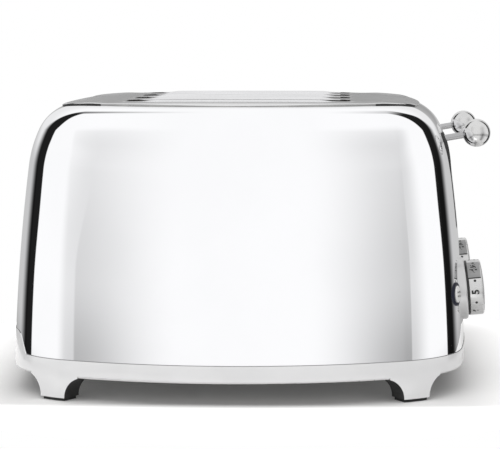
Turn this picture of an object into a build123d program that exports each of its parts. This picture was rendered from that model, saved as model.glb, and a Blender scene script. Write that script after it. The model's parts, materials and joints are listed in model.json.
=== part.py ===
from build123d import *

import os
from dataclasses import dataclass
from math import asin, atan2, cos, degrees, hypot, radians, sin, sqrt, tan

# Retro toaster with four bread slots. Millimetres, +Z up, the floor at Z = 0.
# X runs along the slots, and +X is the end with the levers and dials. Y runs across the slots.
# "near" is the -Y half and "far" the +Y half. Sizes and places are drawn from the body's middle, and
# each finished piece is then moved along X, so that the origin is under the middle of the overall box.


# Driving dimensions of the body
body_half_length = 166.5
body_half_depth = 186.0
front_radius = 300.0
end_radius = 850.0
corner_radius = 72.0
shell_thickness = 1.0
seam_z = 28.9
seam_gap = 0.4
seam_depth = 0.6
foot_clearance = 0.06
wall_top_z = 160.0
shoulder_z = 186.0
wall_lean_low = 2.1
wall_lean_high = 7.5
shoulder_lean = 26.0
crown_radius = 30.0
crown_land = 16.0

# Top plate and bread slots
plate_end_margin = 33.8
plate_front_margin = 43.0
plate_front_radius = 230.0
plate_end_radius = 700.0
plate_corner_radius = 42.0
plate_rise = 2.05
plate_sheet = 1.2
plate_seat = 3.0
plate_lip = 1.0
plate_lip_gap = 0.3
plate_lip_drop = 5.0
plate_dome_radius = 3485.0
slot_count = 4
slot_pitch = 60.0
slot_length = 160.0
slot_width = 34.0
slot_end_radius = 7.0
rim_height = 1.8
rim_width = 2.6
rim_run_out = 11.0
rim_root = 0.6
throat_drop = 7.0
throat_sheet = 1.0

# Base
skirt_proud = 0.3
skirt_foot_proud = 0.4
skirt_wall = 3.0
skirt_bottom_z = 16.6
skirt_edge_radius = 2.0
ledge_width = 5.0
ledge_height = 2.0
upstand_gap = 0.5
upstand_height = 6.0
panel_top_z = 44.0
panel_half_width = 128.0
panel_flare = 10.0
panel_shoulder_radius = 12.0
leg_angle = 58.3
leg_width = 21.0
leg_root_width = 42.0
leg_waist_width = 26.6
leg_waist_rise = 9.0
leg_depth = 15.0
foot_height = 2.2
foot_inset = 1.2
cover_thickness = 1.2
cover_gap = 0.3
vent_length = 30.0
vent_width = 4.0
vent_pitch = 12.0
vent_count = 11
vent_row_margin = 48.0

# Crumb trays
tray_width = 86.0
tray_centre_y = 52.0
tray_end_margin = 8.0
tray_height = 10.0
tray_sheet = 0.8
tray_front_height = 16.5
tray_front_thickness = 2.4
tray_front_overlap = 1.0
tray_front_gap = 0.5
tray_lift = 0.3
scoop_width = 30.0
scoop_depth = 5.0

# Chassis and toasting chambers
chamber_margin = 16.0
end_plate_sheet = 1.2
end_plate_margin = 6.0
end_plate_corner_cut = 12.0
end_plate_bottom_z = 34.0
end_plate_drop = 8.0
foot_flange_depth = 10.0
top_flange_depth = 20.0
top_flange_half_width = 100.0
tab_half_width = 7.0
tab_clearance = 7.0
board_sheet = 0.8
board_offset = 24.0
board_rise = 12.0
board_drop = 5.0
board_notch_pitch = 12.0
board_notch_count = 15
board_notch = 2.0
shield_offset = 32.0
guard_offset = 15.3
guard_wire = 1.6
guard_pitch = 24.0
guard_wire_count = 7
guard_rise = 18.0
guard_drop = 4.0
guard_rail_inset = 6.0
rack_top_z = 112.0
rack_height = 6.0
rack_thickness = 2.4
rack_tip_reach = 3.0
rack_prong_pitch = 30.0
rack_prong_count = 6
rack_prong_width = 18.0
rack_prong_height = 3.0
rack_slot_clearance = 1.3
rack_slot_end_clearance = 3.0

# Lift mechanism
lever_travel = 62.0
lever_y = 75.0
lever_tilt = 9.6
lever_rod_diameter = 4.7
ball_radius = 10.1
ball_reach = 4.8
ball_z = 181.5
ball_socket_depth = 7.0
ball_socket_clearance = 0.05
lever_slot_width = 7.0
lever_slot_clearance = 1.5
carriage_gap = 3.8
carriage_sheet = 2.0
carriage_half_width = 38.0
carriage_drop = 2.0
carriage_height = 46.0
lever_arm_half_width = 9.0
lever_arm_rise = 6.0
guide_offset = -10.0
guide_rod_diameter = 6.0
guide_clearance = 0.3
rod_seat_clearance = 0.05
guide_bush_diameter = 12.0
guide_bush_height = 30.0
guide_bush_rise = 8.0
guide_web = 8.0
spring_offset = -28.0
spring_diameter = 8.0
spring_wall = 1.2
spring_ear_half_width = 6.0
spring_ear_reach = 11.0
spring_ear_sheet = 4.0
magnet_offset = 16.0
magnet_width = 24.0
magnet_core_depth = 14.0
magnet_gap = 0.3
magnet_base = 5.0
coil_diameter = 10.0
armature_sheet = 3.0
armature_width = 20.0

# Dials
dial_z = 68.5
dial_tilt = 5.2
bezel_proud = 3.2
bezel_diameter = 45.0
bezel_spigot_diameter = 35.6
bezel_hole_clearance = 0.4
bezel_overlap = 1.5
bezel_depth = 12.0
bezel_edge_radius = 1.2
bezel_flange_depth = 8.0
knob_diameter = 40.0
knob_band = 11.0
knob_crown = 1.6
knob_gap = 0.6
knob_edge_radius = 1.2
knob_wall = 2.5
knob_hollow = 5.5
knob_boss_diameter = 12.0
shaft_diameter = 6.0
shaft_clearance = 0.3
shaft_grip = 8.0
pot_diameter = 17.0
pot_depth = 9.0
pot_bore_depth = 6.0
control_board_sheet = 1.6
control_board_back = 34.0
control_board_width = 98.0
control_board_height = 64.0
control_board_offset = 11.5
carrier_cheek = 2.0
carrier_bar = 6.0
carrier_margin = 2.0

# Push buttons
outer_button_angle = 18.0
inner_button_y = 34.0
button_z = 69.5
button_diameter = 12.0
button_clearance = 0.3
button_proud = 0.8
button_length = 8.0
button_travel = 1.5
button_dome = 0.5
ring_diameter = 16.8
ring_proud = 0.9
ring_flange_depth = 3.0
sleeve_diameter = 14.6
sleeve_length = 14.0
sleeve_hole_clearance = 0.2
switch_length = 6.0
switch_stem_diameter = 4.0
switch_stem_gap = 0.3

# Mains inlet and fasteners
gland_diameter = 10.0
gland_flange_diameter = 13.4
gland_bore = 7.0
gland_hole_clearance = 0.1
gland_z = 30.5
gland_proud = 0.8
gland_length = 10.0
terminal_length = 30.0
terminal_width = 13.0
terminal_height = 13.0
terminal_margin = 30.5
terminal_hole = 4.0
screw_head_diameter = 6.0
screw_head_height = 1.8
screw_diameter = 3.0
screw_clearance = 0.05
screw_length = 4.0


@dataclass
class PlanArc:
    """One arc of a plan outline: its centre, radius, start angle and size in degrees."""

    x: float
    y: float
    radius: float
    start: float
    size: float


@dataclass
class Outline:
    """A closed plan of bowed sides and rounded corners, symmetric about X and Y."""

    half_length: float
    half_depth: float
    side_radius: float
    end_radius: float
    corner_radius: float

    def corner(self):
        """Centre of the corner arc that touches both bowed sides, and the angles where it does."""
        side_y = self.half_depth - self.side_radius
        end_x = self.half_length - self.end_radius
        apart = hypot(end_x, side_y)
        side_reach = self.side_radius - self.corner_radius
        end_reach = self.end_radius - self.corner_radius
        along = (side_reach**2 - end_reach**2 + apart**2) / (2 * apart)
        across = sqrt(side_reach**2 - along**2)
        ux = end_x / apart
        uy = -side_y / apart
        x = along * ux + across * uy
        y = side_y + along * uy - across * ux
        side_angle = degrees(atan2(y - side_y, x))
        end_angle = degrees(atan2(y, x - end_x))
        return x, y, side_angle, end_angle

    def arcs(self):
        """The eight arcs, counterclockwise from the +X end."""
        x, y, side_angle, end_angle = self.corner()
        side_y = self.half_depth - self.side_radius
        end_x = self.half_length - self.end_radius
        turn = side_angle - end_angle
        side_turn = 180 - 2 * side_angle
        arcs = []
        for half, sign in ((0, 1), (180, -1)):
            arcs.append(PlanArc(sign * end_x, 0, self.end_radius, half - end_angle, 2 * end_angle))
            arcs.append(PlanArc(sign * x, sign * y, self.corner_radius, half + end_angle, turn))
            arcs.append(PlanArc(0, sign * side_y, self.side_radius, half + side_angle, side_turn))
            arcs.append(
                PlanArc(-sign * x, sign * y, self.corner_radius, half + 180 - side_angle, turn)
            )
        return arcs

    def end_reach(self, y):
        """How far the +X end stands out at this y."""
        return self.half_length - self.end_radius + sqrt(self.end_radius**2 - y**2)


plate_half_length = body_half_length - plate_end_margin
plate_half_depth = body_half_depth - plate_front_margin
body_plan = Outline(body_half_length, body_half_depth, front_radius, end_radius, corner_radius)
plate_plan = Outline(
    plate_half_length, plate_half_depth, plate_front_radius, plate_end_radius, plate_corner_radius
)


# Heights and places that follow from the driving dimensions
cover_bottom_z = skirt_bottom_z + ledge_height
cover_top_z = cover_bottom_z + cover_thickness
shell_foot_z = seam_z + seam_gap
foot_ledge_z = shell_foot_z - foot_clearance
wall_radius = (wall_top_z - seam_z) / (sin(radians(wall_lean_high)) - sin(radians(wall_lean_low)))
shoulder_radius = (shoulder_z - wall_top_z) / (
    sin(radians(shoulder_lean)) - sin(radians(wall_lean_high))
)
crown_z = shoulder_z + crown_radius * (1 - sin(radians(shoulder_lean)))
plate_top_z = crown_z + plate_rise
throat_z = plate_top_z - throat_drop
pair_centre_y = slot_pitch
end_plate_x = slot_length / 2 + chamber_margin
end_plate_top_z = crown_z - end_plate_drop
shield_y = pair_centre_y + slot_pitch / 2 + shield_offset
end_plate_half_width = shield_y + end_plate_margin
tray_inner_end = slot_length / 2 + tray_end_margin
vent_row_y = body_half_depth - vent_row_margin
terminal_x = body_half_length - terminal_margin
ball_x = body_half_length + ball_reach
outer_tab_y = tray_centre_y + tray_width / 2 + tab_clearance + tab_half_width
carriage_x = end_plate_x + end_plate_sheet + carriage_gap
carriage_face_x = carriage_x + carriage_sheet
carriage_bottom_z = rack_top_z - rack_height - carriage_drop
guide_x = carriage_face_x + guide_bush_diameter / 2
magnet_top_z = carriage_bottom_z - lever_travel - magnet_gap
ear_top_z = carriage_bottom_z + carriage_height
upper_arcs = (
    (wall_lean_high, shoulder_lean, shoulder_radius),
    (shoulder_lean, 90.0, crown_radius),
)
wall_steps = 4
sides = (("near", -1), ("far", 1))


def wall_at(z):
    """The wall's inset from the plan and its lean in degrees, at height z up to the crown."""
    if z <= wall_top_z:
        lean = asin(sin(radians(wall_lean_low)) + (z - seam_z) / wall_radius)
        return wall_radius * (cos(radians(wall_lean_low)) - cos(lean)), degrees(lean)
    inset = wall_at(wall_top_z)[0]
    lean = asin(sin(radians(wall_lean_high)) + (z - wall_top_z) / shoulder_radius)
    return inset + shoulder_radius * (cos(radians(wall_lean_high)) - cos(lean)), degrees(lean)


def lean_normal(lean):
    """The way out of the wall where it leans in by this many degrees, in (radius, z)."""
    return Vector(cos(radians(lean)), sin(radians(lean)))


def wall_line(radius, depth, foot_z):
    """The wall, shoulder and crown as tangent curves at a depth under the outside, and the land."""
    inset, foot_lean = wall_at(foot_z)
    foot = Vector(radius - inset, foot_z)
    start = foot - lean_normal(foot_lean) * depth
    for low, high, arc_radius in ((foot_lean, wall_lean_high, wall_radius), *upper_arcs):
        centre = foot - lean_normal(low) * arc_radius
        leans = [low + (high - low) * step / wall_steps for step in range(wall_steps + 1)]
        points = [centre + lean_normal(lean) * (arc_radius - depth) for lean in leans]
        Spline(*points, tangents=[lean_normal(low + 90), lean_normal(high + 90)])
        foot = centre + lean_normal(high) * arc_radius
    end = points[-1] - Vector(crown_land, 0)
    Line(points[-1], end)
    return start, end


def shell_section(radius):
    """The body sheet, from above the seam to the land under the top plate."""
    outer_foot, outer_land = wall_line(radius, 0, shell_foot_z)
    inner_foot, inner_land = wall_line(radius, shell_thickness, shell_foot_z)
    Line(outer_foot, inner_foot)
    Line(outer_land, inner_land)


def core_section(radius):
    """The body as if it were solid, from its outer line down to the seam."""
    foot, land = wall_line(radius, 0, seam_z)
    Polyline(land, (land.X, seam_z), foot)


def skirt_section(radius):
    """The base moulding: outer face, ledge for the cover and the upstand inside the shell."""
    side = Line(
        (radius + skirt_proud, seam_z),
        (radius + skirt_foot_proud, skirt_bottom_z + skirt_edge_radius),
    )
    edge = JernArc(side @ 1, (0, -1), skirt_edge_radius, -90)
    Polyline(
        edge @ 1,
        (radius - skirt_wall - ledge_width, skirt_bottom_z),
        (radius - skirt_wall - ledge_width, cover_bottom_z),
        (radius - skirt_wall, cover_bottom_z),
        (radius - skirt_wall, shell_foot_z + upstand_height),
        (radius - shell_thickness - upstand_gap, shell_foot_z + upstand_height),
        (radius - shell_thickness - upstand_gap, foot_ledge_z),
        (radius - seam_depth, foot_ledge_z),
        (radius - seam_depth, seam_z),
        (radius + skirt_proud, seam_z),
    )


def panel_section(radius, bottom_z, top_z, thickness):
    """A panel standing on the skirt, flush with it below the seam and leaning with the wall."""
    inset, lean = wall_at(top_z)
    face = Spline(
        (radius + skirt_proud, seam_z),
        (radius + skirt_proud - inset, top_z),
        tangents=[lean_normal(wall_lean_low + 90), lean_normal(lean + 90)],
    )
    Polyline(
        face @ 1,
        (radius - thickness, top_z),
        (radius - thickness, bottom_z),
        (radius + skirt_proud, bottom_z),
        face @ 0,
    )


def moulding(section, *sizes):
    """Carries a section round the body plan. The section is drawn at (radius, z) of each arc."""
    with BuildPart() as ring:
        for arc in body_plan.arcs():
            angle = radians(arc.start)
            radial = (cos(angle), sin(angle), 0)
            inward = (sin(angle), -cos(angle), 0)
            with BuildSketch(Plane((arc.x, arc.y, 0), x_dir=radial, z_dir=inward)):
                with BuildLine():
                    section(arc.radius, *sizes)
                make_face()
            revolve(axis=Axis((arc.x, arc.y, 0), (0, 0, 1)), revolution_arc=arc.size)
    return ring.part


def plan_prism(outline, inset, bottom_z, top_z):
    """An upright solid of the outline, moved in by inset."""
    with BuildPart() as prism:
        with BuildSketch(Plane.XY.offset(bottom_z)):
            with BuildLine():
                for arc in outline.arcs():
                    CenterArc((arc.x, arc.y), arc.radius - inset, arc.start, arc.size)
            make_face()
        extrude(amount=top_z - bottom_z)
    return prism.part


def panel_prism(grow, bottom_z):
    """The raised end panel's outline, grown all round, as a prism through the -X end."""
    top_half = panel_half_width + grow
    seam_half = top_half + panel_flare
    with BuildPart() as prism:
        with BuildSketch(Plane.YZ.offset(-body_half_length - skirt_wall)):
            with BuildLine():
                Polyline(
                    (-seam_half, bottom_z),
                    (-seam_half, seam_z),
                    (-top_half, panel_top_z + grow),
                    (top_half, panel_top_z + grow),
                    (seam_half, seam_z),
                    (seam_half, bottom_z),
                    close=True,
                )
            sheet = make_face()
            fillet(sheet.vertices().group_by(Axis.Y)[-1], radius=panel_shoulder_radius + grow)
        extrude(amount=body_half_length / 2)
    return prism.part


def dome_z(x):
    """Height of the top plate's upper face, which arches along X only."""
    return plate_top_z - plate_dome_radius + sqrt(plate_dome_radius**2 - x**2)


def under_dome(lift, bottom_z):
    """Everything under the plate's upper face raised by lift, down to a level."""
    reach = plate_half_length + plate_seat
    with BuildPart() as dome:
        with BuildSketch(Plane.XZ):
            with BuildLine():
                arch = ThreePointArc(
                    (-reach, dome_z(reach) + lift),
                    (0, plate_top_z + lift),
                    (reach, dome_z(reach) + lift),
                )
                Polyline(arch @ 1, (reach, bottom_z), (-reach, bottom_z), arch @ 0)
            make_face()
        extrude(amount=plate_half_depth + plate_seat, both=True)
    return dome.part


def wall_plane(arc_x, arc_y, radius, angle, z):
    """The plane that touches the body's wall at an angle round a plan arc, facing out."""
    inset, lean = wall_at(z)
    direction = (cos(radians(angle)), sin(radians(angle)))
    normal = (
        cos(radians(lean)) * direction[0],
        cos(radians(lean)) * direction[1],
        sin(radians(lean)),
    )
    origin = (
        arc_x + (radius - inset) * direction[0],
        arc_y + (radius - inset) * direction[1],
        z,
    )
    return Plane(origin, x_dir=(-direction[1], direction[0], 0), z_dir=normal)


def dial_plane(sign):
    """The front of a dial's bezel, square to the dial's axis."""
    x = body_plan.end_reach(lever_y) - wall_at(dial_z)[0] + bezel_proud
    tilt = (cos(radians(dial_tilt)), 0, sin(radians(dial_tilt)))
    return Plane((x, sign * lever_y, dial_z), x_dir=(0, 1, 0), z_dir=tilt)


def outer_button_plane(sign):
    """Where the button on the rounded corner meets the wall."""
    x, y, _, _ = body_plan.corner()
    return wall_plane(x, sign * y, corner_radius, sign * outer_button_angle, button_z)


def inner_button_plane(sign):
    """Where the button between the dials meets the wall."""
    angle = degrees(asin(sign * inner_button_y / end_radius))
    return wall_plane(body_half_length - end_radius, 0, end_radius, angle, button_z)


def lever_z(x):
    """Height of a lever rod's axis at this x, with the lever up."""
    return ball_z - (ball_x - x) * tan(radians(lever_tilt))


buttons = {
    "near_outer_button": outer_button_plane(-1),
    "near_inner_button": inner_button_plane(-1),
    "far_inner_button": inner_button_plane(1),
    "far_outer_button": outer_button_plane(1),
}
body_core = moulding(core_section)
gland_face_x = wall_at(gland_z)[0] - body_half_length - skirt_proud - gland_proud
to_origin = Location((-(ball_x + ball_radius + gland_face_x) / 2, 0, 0))
os.makedirs("parts", exist_ok=True)


# Body shell: the polished wrap, its openings at the -X end panel, levers, dials and buttons
slot_wall_x = body_plan.end_reach(lever_y) - wall_at(ball_z)[0]
slot_top_z = lever_z(slot_wall_x) + lever_rod_diameter / 2 + lever_slot_clearance
low_wall_x = body_plan.end_reach(lever_y) - wall_at(ball_z - lever_travel)[0]
slot_bottom_z = lever_z(low_wall_x) - lever_travel - lever_rod_diameter / 2 - lever_slot_clearance
dial_hole_z = dial_z - bezel_proud * sin(radians(dial_tilt))

with BuildPart() as body_shell:
    add(moulding(shell_section))
    add(plan_prism(plate_plan, plate_seat, shoulder_z, plate_top_z), mode=Mode.SUBTRACT)
    add(panel_prism(seam_gap, seam_z - seam_gap), mode=Mode.SUBTRACT)
    with BuildSketch(Plane.YZ.offset(carriage_face_x)):
        with Locations(
            (-lever_y, (slot_top_z + slot_bottom_z) / 2), (lever_y, (slot_top_z + slot_bottom_z) / 2)
        ):
            SlotOverall(slot_top_z - slot_bottom_z, lever_slot_width, rotation=90)
    extrude(amount=body_half_length, mode=Mode.SUBTRACT)
    with BuildSketch(Plane.YZ.offset(body_half_length)):
        with Locations((-lever_y, dial_hole_z), (lever_y, dial_hole_z)):
            Circle(bezel_spigot_diameter / 2 + bezel_hole_clearance)
    extrude(amount=-2 * bezel_depth, mode=Mode.SUBTRACT)
    for plane in buttons.values():
        with BuildSketch(plane.offset(ring_proud)):
            Circle(sleeve_diameter / 2 + sleeve_hole_clearance)
        extrude(amount=-sleeve_length, mode=Mode.SUBTRACT)
body_shell.part.label = "body_shell"
export_step(body_shell.part.moved(to_origin), "parts/body_shell.step")


# Top plate: arched sheet, its rim seated on the shoulder, a locating lip and the slot throats
with BuildPart() as plate_hollow:
    add(plan_prism(plate_plan, plate_seat + plate_lip_gap + plate_lip, shoulder_z, plate_top_z))
    add(under_dome(-plate_sheet, shoulder_z), mode=Mode.INTERSECT)

with BuildPart() as plate_shoulder:
    add(plan_prism(plate_plan, -plate_seat, shoulder_z, plate_top_z))
    add(plan_prism(plate_plan, plate_seat + plate_lip_gap, shoulder_z, plate_top_z), mode=Mode.SUBTRACT)
    add(body_core, mode=Mode.INTERSECT)

with BuildPart() as slot_rims:
    rim_end_x = slot_length / 2 + rim_width
    rim_end_z = dome_z(rim_end_x) - plate_sheet / 2
    rim_crown_x = slot_length / 2 - rim_run_out
    rim_crown_z = dome_z(rim_crown_x) + rim_height
    rim_low_z = dome_z(rim_end_x) - plate_sheet - rim_root
    with BuildSketch(Plane.XZ):
        with BuildLine():
            Spline(
                (-rim_end_x, rim_end_z),
                (-rim_crown_x, rim_crown_z),
                tangents=[(4, 1), (1, 0)],
            )
            ThreePointArc(
                (-rim_crown_x, rim_crown_z),
                (0, plate_top_z + rim_height),
                (rim_crown_x, rim_crown_z),
            )
            Spline(
                (rim_crown_x, rim_crown_z),
                (rim_end_x, rim_end_z),
                tangents=[(1, 0), (4, -1)],
            )
            Polyline(
                (rim_end_x, rim_end_z),
                (rim_end_x, rim_low_z),
                (-rim_end_x, rim_low_z),
                (-rim_end_x, rim_end_z),
            )
        make_face()
    extrude(amount=plate_half_depth, both=True)
    with BuildSketch(Plane.XY.offset(shoulder_z)):
        with GridLocations(0, slot_pitch, 1, slot_count):
            RectangleRounded(
                slot_length + 2 * rim_width, slot_width + 2 * rim_width, slot_end_radius + rim_width
            )
    extrude(amount=plate_top_z, mode=Mode.INTERSECT)

with BuildPart() as slot_throats:
    with BuildSketch(Plane.XY.offset(throat_z)):
        with GridLocations(0, slot_pitch, 1, slot_count):
            RectangleRounded(
                slot_length + 2 * throat_sheet,
                slot_width + 2 * throat_sheet,
                slot_end_radius + throat_sheet,
            )
    extrude(amount=plate_top_z)
    add(under_dome(-plate_sheet / 4, throat_z), mode=Mode.INTERSECT)

with BuildPart() as top_plate:
    add(plan_prism(plate_plan, 0, crown_z - plate_lip_drop, plate_top_z + plate_rise))
    add(under_dome(0, shoulder_z), mode=Mode.INTERSECT)
    add(plate_hollow.part, mode=Mode.SUBTRACT)
    add(plate_shoulder.part, mode=Mode.SUBTRACT)
    add(slot_throats.part)
    add(slot_rims.part)
    with BuildSketch(Plane.XY.offset(shoulder_z)):
        with GridLocations(0, slot_pitch, 1, slot_count):
            RectangleRounded(slot_length, slot_width, slot_end_radius)
    extrude(amount=plate_top_z, mode=Mode.SUBTRACT)
top_plate.part.label = "top_plate"
export_step(top_plate.part.moved(to_origin), "parts/top_plate.step")


# Base skirt: moulded ring with a ledge, the raised end panel, four flared legs, tray openings
leg_planes = []
corner_x, corner_y, _, _ = body_plan.corner()
for sign_x, sign_y in ((1, 1), (-1, 1), (-1, -1), (1, -1)):
    out_x = sign_x * cos(radians(leg_angle))
    out_y = sign_y * sin(radians(leg_angle))
    reach = corner_radius - leg_depth - ledge_width
    origin = (sign_x * corner_x + reach * out_x, sign_y * corner_y + reach * out_y, 0)
    leg_planes.append(Plane(origin, x_dir=(-out_y, out_x, 0), z_dir=(out_x, out_y, 0)))

with BuildPart() as legs:
    for plane in leg_planes:
        with BuildSketch(plane):
            with BuildLine():
                waist_z = foot_height + leg_waist_rise
                toe = (leg_width / 2, foot_height)
                root = (leg_root_width / 2, skirt_bottom_z)
                Line((-leg_width / 2, foot_height), toe)
                ThreePointArc(toe, (leg_waist_width / 2, waist_z), root)
                Polyline(
                    root,
                    (leg_root_width / 2, cover_bottom_z),
                    (-leg_root_width / 2, cover_bottom_z),
                    (-leg_root_width / 2, skirt_bottom_z),
                )
                ThreePointArc(
                    (-leg_root_width / 2, skirt_bottom_z),
                    (-leg_waist_width / 2, waist_z),
                    (-leg_width / 2, foot_height),
                )
            make_face()
        extrude(amount=leg_depth + 2 * ledge_width)
    add(plan_prism(body_plan, -skirt_foot_proud, 0, cover_bottom_z), mode=Mode.INTERSECT)
    add(plan_prism(body_plan, leg_depth, 0, cover_bottom_z), mode=Mode.SUBTRACT)

tray_front_width = tray_width + 2 * tray_front_overlap
opening_height = tray_front_height + 2 * tray_front_gap
with BuildPart() as end_panel:
    add(moulding(panel_section, cover_bottom_z + skirt_wall, panel_top_z, skirt_wall))
    add(panel_prism(0, cover_bottom_z), mode=Mode.INTERSECT)

with BuildPart() as base_skirt:
    add(moulding(skirt_section))
    add(end_panel.part)
    add(legs.part)
    with BuildSketch(Plane.YZ.offset(-body_half_length - skirt_wall)):
        with Locations(
            (-tray_centre_y, cover_top_z + opening_height / 2),
            (tray_centre_y, cover_top_z + opening_height / 2),
        ):
            Rectangle(tray_front_width + 2 * tray_front_gap, opening_height)
    extrude(amount=body_half_length / 2, mode=Mode.SUBTRACT)
    with BuildSketch(Plane.YZ.offset(-body_half_length - skirt_wall)):
        with Locations((0, gland_z)):
            Circle(gland_diameter / 2 + gland_hole_clearance)
    extrude(amount=body_half_length / 2, mode=Mode.SUBTRACT)
base_skirt.part.label = "base_skirt"
export_step(base_skirt.part.moved(to_origin), "parts/base_skirt.step")

with BuildPart() as rubber_feet:
    for plane in leg_planes:
        with BuildSketch(plane):
            with Locations((0, foot_height / 2)):
                Rectangle(leg_width - 2 * foot_inset, foot_height)
        extrude(amount=leg_depth + 2 * ledge_width)
    add(plan_prism(body_plan, foot_inset, 0, foot_height), mode=Mode.INTERSECT)
    add(plan_prism(body_plan, leg_depth - foot_inset, 0, foot_height), mode=Mode.SUBTRACT)
rubber_feet.part.label = "rubber_feet"
export_step(rubber_feet.part.moved(to_origin), "parts/rubber_feet.step")


# Bottom cover with its vents, and the screws that hold the chassis plates on it
screw_places = []
for screw_y in (-outer_tab_y, 0, outer_tab_y):
    for sign in (-1, 1):
        screw_places.append((sign * (end_plate_x + end_plate_sheet + foot_flange_depth / 2), screw_y))

with BuildPart() as bottom_cover:
    add(plan_prism(body_plan, skirt_wall + cover_gap, cover_bottom_z, cover_top_z))
    with BuildSketch(Plane.XY.offset(cover_bottom_z)):
        for row_y in (-vent_row_y, -pair_centre_y / 2, pair_centre_y / 2, vent_row_y):
            with Locations((0, row_y)):
                with GridLocations(vent_pitch, 0, vent_count, 1):
                    SlotOverall(vent_length, vent_width, rotation=90)
    extrude(amount=cover_thickness, mode=Mode.SUBTRACT)
    with BuildSketch(Plane.XY.offset(cover_bottom_z)):
        with Locations(*screw_places):
            Circle(screw_diameter / 2 + screw_clearance)
    extrude(amount=cover_thickness, mode=Mode.SUBTRACT)
bottom_cover.part.label = "bottom_cover"
export_step(bottom_cover.part.moved(to_origin), "parts/bottom_cover.step")

with BuildPart() as bottom_screws:
    with BuildSketch(Plane.XY.offset(cover_bottom_z)):
        with Locations(*screw_places):
            Circle(screw_head_diameter / 2)
    extrude(amount=-screw_head_height)
    with BuildSketch(Plane.XY.offset(cover_bottom_z)):
        with Locations(*screw_places):
            Circle(screw_diameter / 2)
    extrude(amount=screw_length)
bottom_screws.part.label = "bottom_screws"
export_step(bottom_screws.part.moved(to_origin), "parts/bottom_screws.step")


# Mains inlet: a flanged bush in the end panel and the terminal block behind it
with BuildPart() as cord_gland:
    gland_face = Plane.YZ.offset(gland_face_x)
    with BuildSketch(gland_face):
        with Locations((0, gland_z)):
            Circle(gland_flange_diameter / 2)
    extrude(amount=skirt_wall)
    add(base_skirt.part, mode=Mode.SUBTRACT)
    with BuildSketch(gland_face):
        with Locations((0, gland_z)):
            Circle(gland_diameter / 2)
    extrude(amount=gland_length)
    with BuildSketch(gland_face):
        with Locations((0, gland_z)):
            Circle(gland_bore / 2)
    extrude(amount=gland_length, mode=Mode.SUBTRACT)
cord_gland.part.label = "cord_gland"
export_step(cord_gland.part.moved(to_origin), "parts/cord_gland.step")

with BuildPart() as terminal_block:
    with BuildSketch(Plane.XY.offset(cover_top_z)):
        with Locations((-terminal_x, 0)):
            Rectangle(terminal_length, terminal_width)
    extrude(amount=terminal_height)
    with BuildSketch(Plane.XY.offset(cover_top_z + terminal_height)):
        with Locations((-terminal_x, 0)):
            with GridLocations(terminal_length / 3, 0, 3, 1):
                Circle(terminal_hole / 2)
    extrude(amount=-terminal_height / 2, mode=Mode.SUBTRACT)
terminal_block.part.label = "terminal_block"
export_step(terminal_block.part.moved(to_origin), "parts/terminal_block.step")


# End plates of the chassis: slots for the bread racks, feet screwed to the cover
rack_slot_bottom_z = rack_top_z - rack_height - lever_travel - rack_slot_end_clearance
rack_slot_top_z = rack_top_z + rack_slot_end_clearance
rack_slot_height = rack_slot_top_z - rack_slot_bottom_z
for label, sign in (("plain_end_plate", -1), ("lever_end_plate", 1)):
    face = Plane.YZ.offset(sign * end_plate_x)
    with BuildPart() as end_plate:
        with BuildSketch(face) as plate_face:
            with Locations((0, (end_plate_bottom_z + end_plate_top_z) / 2)):
                Rectangle(2 * end_plate_half_width, end_plate_top_z - end_plate_bottom_z)
            chamfer(plate_face.vertices().group_by(Axis.Y)[-1], length=end_plate_corner_cut)
            with Locations((0, (cover_top_z + end_plate_bottom_z) / 2)):
                with GridLocations(outer_tab_y, 0, 3, 1):
                    Rectangle(2 * tab_half_width, end_plate_bottom_z - cover_top_z)
            with Locations((0, (rack_slot_bottom_z + rack_slot_top_z) / 2)):
                with GridLocations(slot_pitch, 0, slot_count, 1):
                    Rectangle(
                        rack_thickness + 2 * rack_slot_clearance,
                        rack_slot_height,
                        mode=Mode.SUBTRACT,
                    )
        extrude(amount=sign * end_plate_sheet)
        with BuildSketch(Plane.XY.offset(cover_top_z)):
            with Locations((sign * (end_plate_x + (end_plate_sheet + foot_flange_depth) / 2), 0)):
                with GridLocations(0, outer_tab_y, 1, 3):
                    Rectangle(end_plate_sheet + foot_flange_depth, 2 * tab_half_width)
        extrude(amount=end_plate_sheet)
        with BuildSketch(Plane.XY.offset(cover_top_z)):
            with Locations(*screw_places):
                Circle(screw_diameter / 2 + screw_clearance)
        extrude(amount=end_plate_sheet, mode=Mode.SUBTRACT)
        if sign > 0:
            flange_plane = Plane.XY.offset(end_plate_top_z)
            with BuildSketch(flange_plane):
                with Locations((end_plate_x + (end_plate_sheet + top_flange_depth) / 2, 0)):
                    Rectangle(end_plate_sheet + top_flange_depth, 2 * top_flange_half_width)
            extrude(amount=-end_plate_sheet)
            with BuildSketch(flange_plane):
                for _, side_sign in sides:
                    with Locations((guide_x, side_sign * (pair_centre_y + guide_offset))):
                        Circle(guide_rod_diameter / 2 + rod_seat_clearance)
            extrude(amount=-end_plate_sheet, mode=Mode.SUBTRACT)
    end_plate.part.label = label
    export_step(end_plate.part.moved(to_origin), f"parts/{label}.step")


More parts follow.
